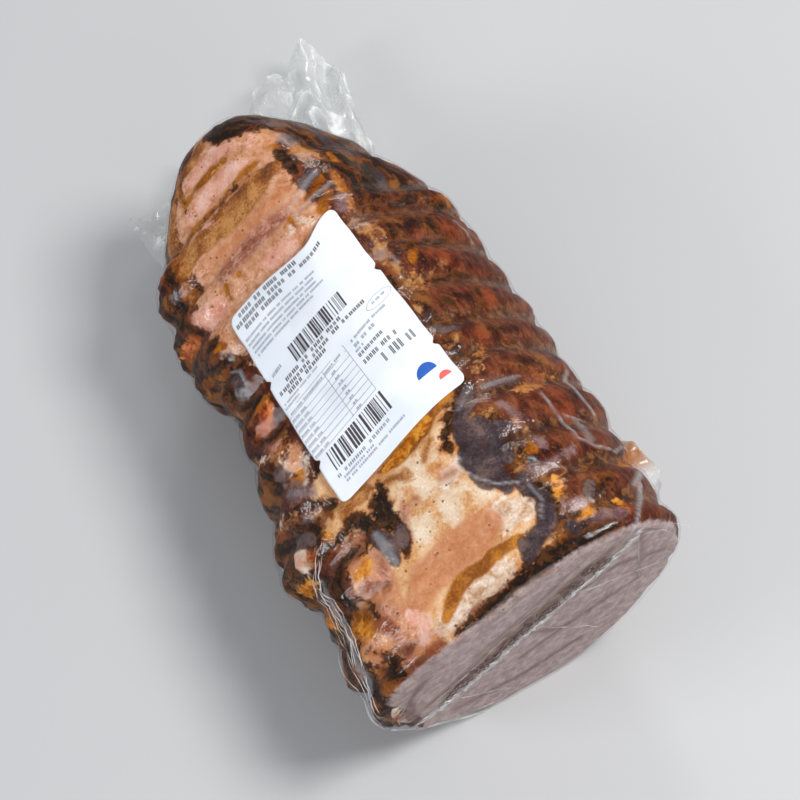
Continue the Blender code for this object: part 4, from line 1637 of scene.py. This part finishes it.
@dataclass
class FilmPleats:
    """Ropes of gathered film: along the dark side near the cut, and along the cut face's crease."""

    form: RoastForm
    rope: tuple[Pair, ...] = (
        (73, 157), (68, 163), (64, 169), (58, 170), (50, 167), (40, 169), (30, 167), (21, 170), (13, 174),
        (6, 176), (1, 182),
    )
    rim: tuple[Pair, ...] = (
        (34, 177), (22, 181), (12, 184), (5, 188), (2, 196), (1.2, 208), (0.8, 222), (0.8, 238), (0.8, 252),
    )
    side_rope: Gather = Gather(0.62, 0.34, 6)
    rim_rope: Gather = Gather(0.8, 0.34)
    cut_crease: Gather = Gather(1.0, 0.42)
    cut_folds: Gather = Gather(0.6, 0.2)
    spread: float = 0.003
    axis_gap: float = 0.075  # from a strand to the roast's axis
    radius: float = 0.00028
    radii: Pair = (0.0001, 0.0006)  # least and greatest radius of a strand
    floor_gap: float = 0.0005  # least height of a strand over the floor
    rope_steps: int = 130
    rope_ends: Pair = (0.9, 0.6)  # how far apart the strands start and end
    rope_wander: Pair = (0.0085, 1.4)  # its size and reach
    rope_pitch: float = 0.4
    rope_lift: float = 0.0009
    rope_sink: float = 0.42  # share of a groove that a rope follows
    fold_steps: int = 60
    fold_gap: float = 0.0005  # distance of a fold from the cut face
    fold_wander: Pair = (0.014, 0.0016)
    crease_steps: int = 200
    crease_gap: float = 0.001
    crease_pitch: float = 0.0007
    crease_sizes: Triple = (0.0038, 0.003, 0.0045)  # of its wandering, in x, y and z
    crease_reach: Triple = (0.0024, -0.0005, 0.003)
    bubble_run: Pair = (-46.0, 32.0)
    bubble_count: int = 38
    bubble_heights: Pair = (2.5, 12.0)  # over the crease, in mm
    bubble_sizes: Pair = (0.9, 2.2)
    bubble_stretch: Pair = (1.1, 1.9)
    bubble_thickness: float = 0.26
    bubble_gap: float = 0.0008
    noise: Noise = field(default_factory=lambda: Noise(5))

    def strand_route(self, rope: Sequence[Pair], index: int, count: int) -> Array:
        """Middle line of one of a rope's strands, which wanders across the others.

        Args:
            rope: distance in mm and angle in degrees of the rope's points.
            index: which of the strands.
            count: number of strands.

        Returns:
            The points along it.
        """
        start, end = self.rope_ends
        share = np.linspace(start * (index % 3), len(rope) - 1 - end * (index % 2), self.rope_steps)
        distance, angle = follow(np.array(rope, float), share).T
        distance, angle = distance * MM, np.radians(angle)
        wander = np.stack([share * 0.004, np.full(self.rope_steps, index * 0.01), 0 * share], -1)
        aside = self.noise.at(wander, self.rope_wander[0]) * self.rope_wander[1]
        aside = aside + (index - (count - 1) / 2) * self.rope_pitch
        lift = self.rope_lift * (1 + self.noise.at(wander + 1, 0.006))
        lift = np.maximum(lift - self.rope_sink * self.form.groove_depth(distance, angle), -0.0005)
        route = self.form.point(distance, angle + self.spread * aside / self.axis_gap, lift)
        route[:, 2] = np.maximum(route[:, 2], self.floor_gap)
        return route

    def over_cut(self, run: Sequence[Sequence[float]], steps: int, gap: float) -> Array:
        """Points along a run over the cut face.

        Args:
            run: x and height of its points, in mm.
            steps: number of points.
            gap: distance from the cut face, in metres.

        Returns:
            The points.
        """
        columns = np.array(run, float)[:, :2] * MM
        x, z = follow(columns, np.linspace(0, len(run) - 1, steps)).T
        y = np.full(steps, -self.form.length / 2 + self.form.shift[1] - gap)
        return np.stack([x + self.form.shift[0], y, z], -1)

    def fold_route(self, fold: Sequence[Pair]) -> Array:
        """Middle line of a fine fold over the cut face.

        Args:
            fold: x and height of its points, in mm.

        Returns:
            The points along it.
        """
        route = self.over_cut(fold, self.fold_steps, self.fold_gap)
        size, reach = self.fold_wander
        route[:, 0] += reach * self.noise.at(route + 2, size)
        route[:, 2] += reach * self.noise.at(route + 7, size)
        return route

    def crease_route(self, index: int) -> Array:
        """Middle line of one strand along the cut face's crease.

        Args:
            index: which of the strands.

        Returns:
            The points along it.
        """
        route = self.over_cut(CREASE, self.crease_steps, self.crease_gap)
        for axis, seed, aside in ((2, 0, self.crease_pitch * (index - 1)), (0, 9, 0.0), (1, 4, 0.0)):
            wander = self.noise.at(route + index + seed, self.crease_sizes[axis])
            route[:, axis] += self.crease_reach[axis] * wander + aside
        return route

    def bubbles(self) -> Piece:
        """Build the rings of the flat bubbles in the juice above the cut face's crease.

        Returns:
            The rings, one piece.
        """
        rng = np.random.default_rng(17)
        columns = np.array(CREASE, float)
        rings = []
        for place in np.linspace(*self.bubble_run, self.bubble_count):
            x = place + rng.uniform(-0.5, 0.5)
            z = np.interp(x, columns[:, 0], columns[:, 1]) + rng.uniform(*self.bubble_heights)
            size = rng.uniform(*self.bubble_sizes)
            y = self.form.shift[1] - self.form.length / 2 - self.bubble_gap
            where = (x * MM + self.form.shift[0], y, z * MM)
            deselect()
            bpy.ops.mesh.primitive_torus_add(
                location=where, rotation=(math.pi / 2, rng.uniform(0, 3), 0), major_radius=size * MM,
                minor_radius=self.bubble_thickness * MM, major_segments=20, minor_segments=6,
            )
            stretch = rng.uniform(*self.bubble_stretch)
            bpy.ops.transform.resize(value=(1.0, 1.0, stretch), center_override=where)
            bpy.ops.object.transform_apply(location=True, rotation=True, scale=True)
            rings.append(bpy.context.object)
        return join("juice_bubbles", rings)

    def gathered(self, name: str, look: Gather, routes: Sequence[Array]) -> Piece:
        """Lay strands along routes and join them.

        Args:
            name: the piece's name.
            look: how thick and how milky it is.
            routes: middle lines of its strands.

        Returns:
            The piece.
        """
        parts = []
        for index, route in enumerate(routes):
            radii = look.scale * self.radius * (1.0 + 0.9 * self.noise.at(route + index, 0.006))
            parts.append(strand(f"{name}_{index}", route, np.clip(radii, *self.radii)))
        piece = join(name, parts)
        uneven = np.clip(1.0 + 1.6 * self.noise.at(points_of(piece), 0.007), 0.1, 2.0)
        paint(piece, "haze", look.haze * uneven)
        return piece

    def build(self) -> list[Piece]:
        """Build the ropes, the crease, the fine folds and the bubbles.

        Returns:
            The pieces.
        """
        runs = []
        for name, look, rope in (
            ("side_rope", self.side_rope, self.rope), ("rim_rope", self.rim_rope, self.rim),
        ):
            strands = range(look.strands)
            runs.append((name, look, [self.strand_route(rope, index, look.strands) for index in strands]))
        strands = range(self.cut_crease.strands)
        runs.append(("cut_crease", self.cut_crease, [self.crease_route(index) for index in strands]))
        runs.append(("cut_folds", self.cut_folds, [self.fold_route(fold) for fold in CUT_FOLDS]))
        finish = FilmFinish("gathered_film", haze=srgb(236, 234, 232)).build()
        pieces = []
        for run in runs:
            piece = self.gathered(*run)
            piece.data.materials.append(finish)
            pieces.append(piece)
        bubbles = self.bubbles()
        paint(bubbles, "haze", np.full(len(bubbles.data.vertices), 0.9))
        rings = FilmFinish("juice_rings", haze=srgb(98, 73, 65)).build()
        return [*pieces, dress(bubbles, rings)]


class Ink(Enum):
    """Inks of the label's print."""

    DARK = "dark_ink"
    GREY = "grey_ink"
    BLUE = "blue_ink"
    RED = "red_ink"


@dataclass(frozen=True)
class Words:
    """A line of generic blocks where the label has words."""

    left: float  # across the label, in mm, positive on the draped side
    right: float
    along: float  # along the label, in mm, positive towards the dome
    height: float
    words: tuple[int, ...]  # number of blocks in each word
    tilt: float = 0.0  # rise over its length, in mm
    ink: Ink = Ink.DARK
    weight: float = 0.26  # of a stroke, as a share of its place


# The label's lines of words, from its far end to its near one.
LINES = (
    Words(31, -9, 52.2, 2.6, (4, 2, 4, 4)),
    Words(35, -23, 48.4, 2.6, (9, 5, 2, 6)),
    Words(31, 4, 44.8, 2.6, (4, 6)),
    Words(35, -13, 40.4, 1.4, (11, 2, 5, 2, 6, 3, 2, 5), ink=Ink.GREY),
    Words(35, -11, 37.7, 1.4, (8, 6, 9, 6, 5, 5), ink=Ink.GREY),
    Words(34, -11, 35.0, 1.4, (10, 11, 10, 2, 7), ink=Ink.GREY),
    Words(34, -14, 32.3, 1.4, (12, 6, 2, 6, 5, 2, 8), ink=Ink.GREY),
    Words(33, -6, 29.6, 1.4, (1, 9, 10, 5, 9), ink=Ink.GREY),
    Words(33, 26, 16.0, 2.0, (6,), ink=Ink.GREY, tilt=0.6),
    Words(28, -10, 8.6, 2.2, (4, 2, 4, 4)),
    Words(34, -23, 5.6, 2.2, (9, 5, 2, 6)),
    Words(30, 4, 2.9, 2.2, (4, 6)),
    Words(35, 12, 0.8, 1.1, (1, 9, 5, 3, 4), ink=Ink.GREY),
    Words(36, 26, -1.2, 1.1, (9,), ink=Ink.GREY),
    Words(-7, -29, -5.2, 1.5, (1, 9, 7), tilt=2.2, ink=Ink.GREY),
    Words(-7, -20, -8.4, 1.9, (2, 2, 2), tilt=1.2, ink=Ink.GREY),
    Words(-6, -11, -10.6, 1.3, (3, 1), tilt=0.3, ink=Ink.GREY),
    Words(-6, -21, -13.4, 1.9, (8,), tilt=0.6),
    Words(-6, -26, -17.8, 2.5, (5, 3, 1), tilt=0.4),
    Words(-14, -32.5, -24.4, 5.0, (1, 3, 2), weight=0.2),
    Words(-24.5, -32.5, 1.6, 1.4, (2, 3, 3), tilt=1.2, ink=Ink.GREY),
    Words(32, 0, -45.4, 1.7, (1, 6, 6), ink=Ink.GREY),
    Words(30, 12, -47.6, 1.2, (11, 4), ink=Ink.GREY),
    Words(30, -6, -49.6, 1.2, (2, 3, 10, 5, 9), ink=Ink.GREY),
)


@dataclass
class Label:
    """The paper label, bent round the pale face, and its generic print."""

    form: RoastForm
    length: float = 0.112
    width: float = 0.074
    centre: Pair = (0.1435, 112.5)
    turn: float = math.radians(-5.5)
    skew: float = math.radians(-6.0)
    swing: float = 0.0032
    corner: float = 0.004
    gap: float = 0.00095
    thickness: float = 0.00018
    notch_places: Pair = (0.36, 0.785)
    notch_depth: float = 0.0022
    notch_width: float = 0.0022
    columns: int = 92
    rows: int = 150
    dip: float = 0.0058  # how far a groove draws the far edge in
    dip_place: float = -0.015
    dip_left: float = 0.022
    dip_right: float = 0.012
    ink_lift: float = 0.00014
    bunching: float = 0.35  # of the rows towards both ends
    survey_reach: float = 0.62  # as a share of the length
    survey_stations: int = 48
    survey_turn: float = 1.2  # in radians
    survey_turns: int = 241
    waves: tuple[Pair, ...] = ((0.024, 0.00035), (0.009, 0.00012))  # size and height
    groove_share: float = 0.22  # share of a groove that the paper follows
    word_gap: float = 0.9  # as a share of a block's place
    stroke_pitch: float = 1.6  # within a pair, as a share of its width
    stroke_heights: Pair = (0.88, 1.0)
    stroke_widths: Pair = (0.75, 1.15)
    bar_widths: tuple[float, ...] = (0.3, 0.3, 0.6, 0.9, 1.2)
    bar_gaps: tuple[float, ...] = (0.35, 0.45, 0.8, 1.2)
    table_pitch: float = 3.04
    ring_sides: int = 48
    noise: Noise = field(default_factory=lambda: Noise(13))

    def __post_init__(self) -> None:
        """Measure arcs round the form once, for every later placing."""
        centre, middle = self.centre
        reach = self.length * self.survey_reach
        self.stations = np.linspace(centre - reach, centre + reach, self.survey_stations)
        turns = np.linspace(-self.survey_turn, self.survey_turn, self.survey_turns)
        self.turns = math.radians(middle) + turns
        distance, angle = np.meshgrid(self.stations, self.turns, indexing="ij")
        points = self.form.point(distance, angle)
        steps = np.linalg.norm(np.diff(points, axis=1), axis=2)
        arcs = np.concatenate([np.zeros((len(self.stations), 1)), np.cumsum(steps, axis=1)], axis=1)
        self.arcs = arcs - arcs[:, [self.survey_turns // 2]]

    def place(self, across: Array, along: Array, lift: float) -> Array:
        """Points on the label.

        Args:
            across: metres across it, positive on the draped side.
            along: metres along it, positive towards the dome.
            lift: height over the paper's middle.

        Returns:
            The points.
        """
        spread = np.where(across > self.dip_place, self.dip_left, self.dip_right)
        drawn = self.dip * np.exp(-(((across - self.dip_place) / spread) ** 2))
        along = along - drawn * np.clip((along + 0.004) / 0.05, 0, 1.1) ** 1.5
        distance = self.centre[0] + along * math.cos(self.turn) + across * math.sin(self.turn + self.skew)
        arc = across * math.cos(self.turn) - along * math.sin(self.turn)
        arc = arc - self.swing * np.maximum(across, 0) / (self.width / 2) * along / (self.length / 2)
        by_station = np.stack([np.interp(arc, row, self.turns) for row in self.arcs])
        where = np.interp(distance, self.stations, np.arange(len(self.stations)))
        low = np.clip(np.floor(where).astype(int), 0, len(self.stations) - 2)
        each = np.arange(len(arc))
        rest = where - low
        angle = by_station[low, each] * (1 - rest) + by_station[low + 1, each] * rest
        flat = np.stack([across, along, 0 * along], -1)
        waves = sum(height * self.noise.at(flat, size) for size, height in self.waves)
        groove = self.groove_share * self.form.groove_depth(distance, angle)
        return self.form.point(distance, angle, self.gap + waves - groove + lift)

    def half_width(self, along: Array) -> Array:
        """Half the label's width, with its round corners and its notches.

        Args:
            along: places along the label, in metres.

        Returns:
            Half the width at each, in metres.
        """
        half = self.length / 2
        into_corner = np.maximum(0, np.abs(along) - half + self.corner)
        width = self.width / 2 - self.corner + np.sqrt(np.maximum(0, self.corner**2 - into_corner**2))
        for share in self.notch_places:
            away = np.abs(along - (half - share * self.length))
            width = width - self.notch_depth * np.maximum(0, 1 - away / self.notch_width)
        return width

    def paper(self) -> Piece:
        """Build the sheet of paper.

        Returns:
            The sheet.
        """
        piece = grid("label_sheet", self.columns, self.rows)
        share = points_of(piece)
        even = share[:, 1] * 2 - 1
        bunched = np.sin(even * math.pi / 2)
        along = self.length / 2 * bunched * self.bunching + self.length / 2 * even * (1 - self.bunching)
        across = (share[:, 0] * 2 - 1) * self.half_width(along)
        move(piece, self.place(across, along, 0.0))
        thicken(piece, self.thickness)
        return dress(piece, PaperFinish().build())

    @staticmethod
    def row(blocks: Sequence[Quad], face_height: float = 1.2) -> Piece:
        """A row of flat blocks in the label's plane, with enough faces to follow the paper.

        Args:
            blocks: left, right, low and high edge of each in mm, from left to right.
            face_height: greatest height of a face in mm.

        Returns:
            The row, one piece.
        """
        columns = 2 * len(blocks) - 1
        tallest = max(high - low for _, _, low, high in blocks)
        piece = grid("row", columns, max(1, math.ceil(tallest / face_height)))
        share = points_of(piece)
        side = np.rint(share[:, 0] * columns).astype(int)
        edges = np.array(blocks)[side // 2]
        share[:, 0] = np.where(side % 2 == 0, edges[:, 0], edges[:, 1]) * MM
        share[:, 1] = (edges[:, 2] + (edges[:, 3] - edges[:, 2]) * share[:, 1]) * MM
        gaps = np.arange(len(piece.data.polygons)) % columns % 2 == 1
        move(piece, share)
        drop_faces(piece, gaps)
        return piece

    def block(self, left: float, right: float, low: float, high: float) -> Piece:
        """A single flat block, in mm."""
        return self.row([(left, right, low, high)])

    def words(self, line: Words, rng: np.random.Generator) -> Piece:
        """The strokes of one line of words: a pair for each of its blocks.

        Args:
            line: the line.
            rng: what its uneven heights and widths are drawn from.

        Returns:
            The line, one piece.
        """
        places = sum(line.words) + self.word_gap * (len(line.words) - 1)
        pitch = (line.left - line.right) / places
        blocks = []
        cursor = 0.0
        for count in line.words:
            for _ in range(count):
                left = line.left - cursor * pitch
                low = line.along + line.tilt * cursor / places
                high = low + line.height * rng.uniform(*self.stroke_heights)
                width = pitch * line.weight * rng.uniform(*self.stroke_widths)
                second = left - self.stroke_pitch * width
                blocks += [(left, left - width, low, high), (second, second - width, low, high)]
                cursor += 1
            cursor += self.word_gap
        return self.row(blocks)

    def bars(self, left: float, right: float, low: float, high: float, seed: int) -> Piece:
        """Upright bars of random widths.

        Args:
            left: left edge of the first, in mm.
            right: where they end.
            low: their lower ends.
            high: their upper ends.
            seed: seed of the draw.

        Returns:
            The bars, one piece.
        """
        rng = np.random.default_rng(seed)
        blocks = []
        cursor = left
        while cursor > right + 0.6:
            width = rng.choice(self.bar_widths)
            blocks.append((cursor, cursor - width, low + rng.uniform(0, 0.2), high))
            cursor -= width + rng.choice(self.bar_gaps)
        return self.row(blocks)

    def table(self) -> list[Piece]:
        """Build the lines of an empty table.

        Returns:
            The lines.
        """
        left, right, top, low, line = 37.0, -3.0, -2.6, -30.0, 0.2
        steps = np.arange(0, top - low, self.table_pitch)
        blocks = [self.block(left, right, top - step, top - step + line) for step in steps]
        for across in (left, 12.0, right + line):
            blocks.append(self.block(across, across - line, low + 0.1, top + line))
        return blocks

    def ring(self, across: float, along: float, wide: float, high: float, tilt: float) -> Piece:
        """A thin oval ring.

        Args:
            across: its middle across the label, in mm.
            along: its middle along the label.
            wide: half its width.
            high: half its height.
            tilt: its turn in radians.

        Returns:
            The ring.
        """
        piece = grid("ring", self.ring_sides, 1)
        share = points_of(piece)
        turn = 2 * math.pi * share[:, 0]
        x = wide * np.cos(turn) * (1 + 0.035 * share[:, 1])
        y = high * np.sin(turn) * (1 + 0.08 * share[:, 1])
        share[:, 0] = (across + x * math.cos(tilt) - y * math.sin(tilt)) * MM
        share[:, 1] = (along + x * math.sin(tilt) + y * math.cos(tilt)) * MM
        move(piece, share)
        return piece

    @staticmethod
    def half_disc(across: float, along: float, radius: float) -> Piece:
        """A half disc standing on its straight side.

        Args:
            across: middle of that side across the label, in mm.
            along: its place along the label.
            radius: radius of the disc.

        Returns:
            The half disc.
        """
        piece = grid("half_disc", 24, 8)
        share = points_of(piece)
        turn = math.pi * share[:, 0]
        reach = radius * share[:, 1]
        share[:, 0] = (across + reach * np.cos(turn)) * MM
        share[:, 1] = (along + reach * np.sin(turn)) * MM
        move(piece, share)
        return piece

    def print_parts(self) -> dict[Ink, list[Piece]]:
        """Build every shape of the print, flat in the label's plane.

        Returns:
            The shapes, for each ink.
        """
        rng = np.random.default_rng(3)
        rows = []
        for row in range(8):
            down = -8.2 - self.table_pitch * row
            rows.append(Words(36, 27, down, 1.2, (4 + row % 3, 3), ink=Ink.GREY))
            rows.append(Words(9, 6, down, 1.2, (2,), ink=Ink.GREY))
        heading = Words(35, 0, -5.0, 1.2, (7, 12, 6, 4), ink=Ink.GREY)
        parts: dict[Ink, list[Piece]] = {ink: [] for ink in Ink}
        for line in (*LINES, *rows, heading):
            parts[line.ink].append(self.words(line, rng))
        parts[Ink.DARK].append(self.bars(19, -17, 11.5, 21.0, 8))
        parts[Ink.DARK].append(self.bars(31, -3, -42.0, -31.6, 9))
        parts[Ink.GREY] += [*self.table(), self.ring(-28.4, 2.4, 7.4, 2.7, -0.14)]
        parts[Ink.BLUE].append(self.half_disc(-25.0, -42.0, 5.2))
        parts[Ink.RED].append(self.half_disc(-30.4, -48.6, 3.2))
        return parts

    def build(self) -> list[Piece]:
        """Build the paper and its print.

        Returns:
            The pieces.
        """
        finishes = {
            Ink.DARK: InkFinish("dark_ink", srgb(62, 54, 62), srgb(120, 112, 122)),
            Ink.GREY: InkFinish("grey_ink", srgb(128, 134, 152), srgb(186, 192, 206)),
            Ink.BLUE: InkFinish("blue_ink", srgb(38, 92, 180), srgb(70, 120, 196)),
            Ink.RED: InkFinish("red_ink", srgb(226, 96, 92), srgb(236, 130, 122)),
        }
        pieces = [self.paper()]
        for ink, blocks in self.print_parts().items():
            piece = join(f"label_{ink.value}", blocks)
            flat = points_of(piece)
            move(piece, self.place(flat[:, 0], flat[:, 1], self.ink_lift))
            pieces.append(dress(piece, finishes[ink].build()))
        return pieces


@dataclass(frozen=True)
class Studio:
    """Plain pale floor, soft light, and the camera at the photograph's angle."""

    target: Triple
    azimuth: float = math.radians(-30.42)
    elevation: float = math.radians(59.68)
    distance: float = 0.95
    lens: float = 89.775
    sensor: float = 36.0
    floor_size: float = 6.0

    def floor(self) -> None:
        """A plain floor, wide enough to fill every view."""
        deselect()
        bpy.ops.mesh.primitive_plane_add(size=self.floor_size, location=(0, 0, 0))
        plane = bpy.context.object
        plane.name = "floor"
        graph = Graph("pale_floor")
        colour = graph.mix(graph.noise(400.0, 2.0), srgb(184, 185, 187), srgb(194, 195, 197))
        inputs = {"Base Color": colour, "Roughness": 0.6}
        plane.data.materials.append(graph.finish(graph.add("ShaderNodeBsdfPrincipled", inputs)))

    @staticmethod
    def light(name: str, place: Sequence[float], size: float, power: float, colour: Sequence[float]) -> None:
        """A soft square light that faces the object.

        Args:
            name: its name.
            place: where it stands.
            size: length of its side, in metres.
            power: its power in watts.
            colour: its colour.
        """
        deselect()
        bpy.ops.object.light_add(type="AREA", location=place)
        lamp = bpy.context.object
        lamp.name = name
        lamp.data.size = size
        lamp.data.energy = power
        lamp.data.color = colour
        lamp.rotation_euler = (Vector((0, 0, 0.05)) - Vector(place)).to_track_quat("-Z", "Y").to_euler()

    def lights(self) -> None:
        """Key from above on the right, softer light from the back, the front and the left."""
        self.light("key", (0.7, -0.45, 1.25), 0.5, 18.0, (1.0, 0.99, 0.97))
        self.light("back", (0.55, 1.05, 0.75), 0.35, 5.0, (1.0, 0.99, 0.98))
        self.light("front", (-0.35, -1.3, 0.55), 0.6, 4.5, (1.0, 0.98, 0.97))
        self.light("left", (-1.2, 0.1, 0.7), 0.4, 6.5, (0.95, 0.97, 1.0))
        world = bpy.data.worlds.new("surround")
        world.use_nodes = True
        ground = world.node_tree.nodes["Background"]
        ground.inputs["Color"].default_value = (0.9, 0.94, 1.0, 1)
        ground.inputs["Strength"].default_value = 0.28
        bpy.context.scene.world = world

    def camera(self) -> None:
        """The camera."""
        a, e = self.azimuth, self.elevation
        back = Vector((math.sin(a) * math.cos(e), -math.cos(a) * math.cos(e), math.sin(e)))
        place = Vector(self.target) + back * self.distance
        deselect()
        bpy.ops.object.camera_add(location=place, rotation=(math.pi / 2 - e, 0, a))
        camera = bpy.context.object
        camera.data.sensor_width = self.sensor
        camera.data.lens = self.lens
        camera.data.clip_start = 0.01
        bpy.context.scene.camera = camera

    def build(self) -> None:
        """Build the whole studio."""
        self.floor()
        self.lights()
        self.camera()
        bpy.context.scene.view_settings.view_transform = "Standard"


def settle(piece: Piece, node: str) -> None:
    """Tie a piece to the model.

    Args:
        piece: the piece.
        node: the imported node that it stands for.
    """
    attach(piece, BODY)
    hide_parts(node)
    LOG.info("%s: %d faces, stands for %s", piece.name, len(piece.data.polygons), node)


def main() -> None:
    """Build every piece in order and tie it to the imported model."""
    logging.basicConfig(level=logging.INFO, format="%(name)s: %(message)s")
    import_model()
    form = RoastForm().placed(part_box("vacuum_bag"))
    Studio(target=(0.0087 + form.shift[0], -0.0145 + form.shift[1], 0.06)).build()
    for piece in (*PackedMeat(form).build(), *BagTail(form.shift).build(), *FilmPleats(form).build()):
        settle(piece, "vacuum_bag")
    for piece in Label(form).build():
        settle(piece, "label")


if __name__ == "__main__":
    main()
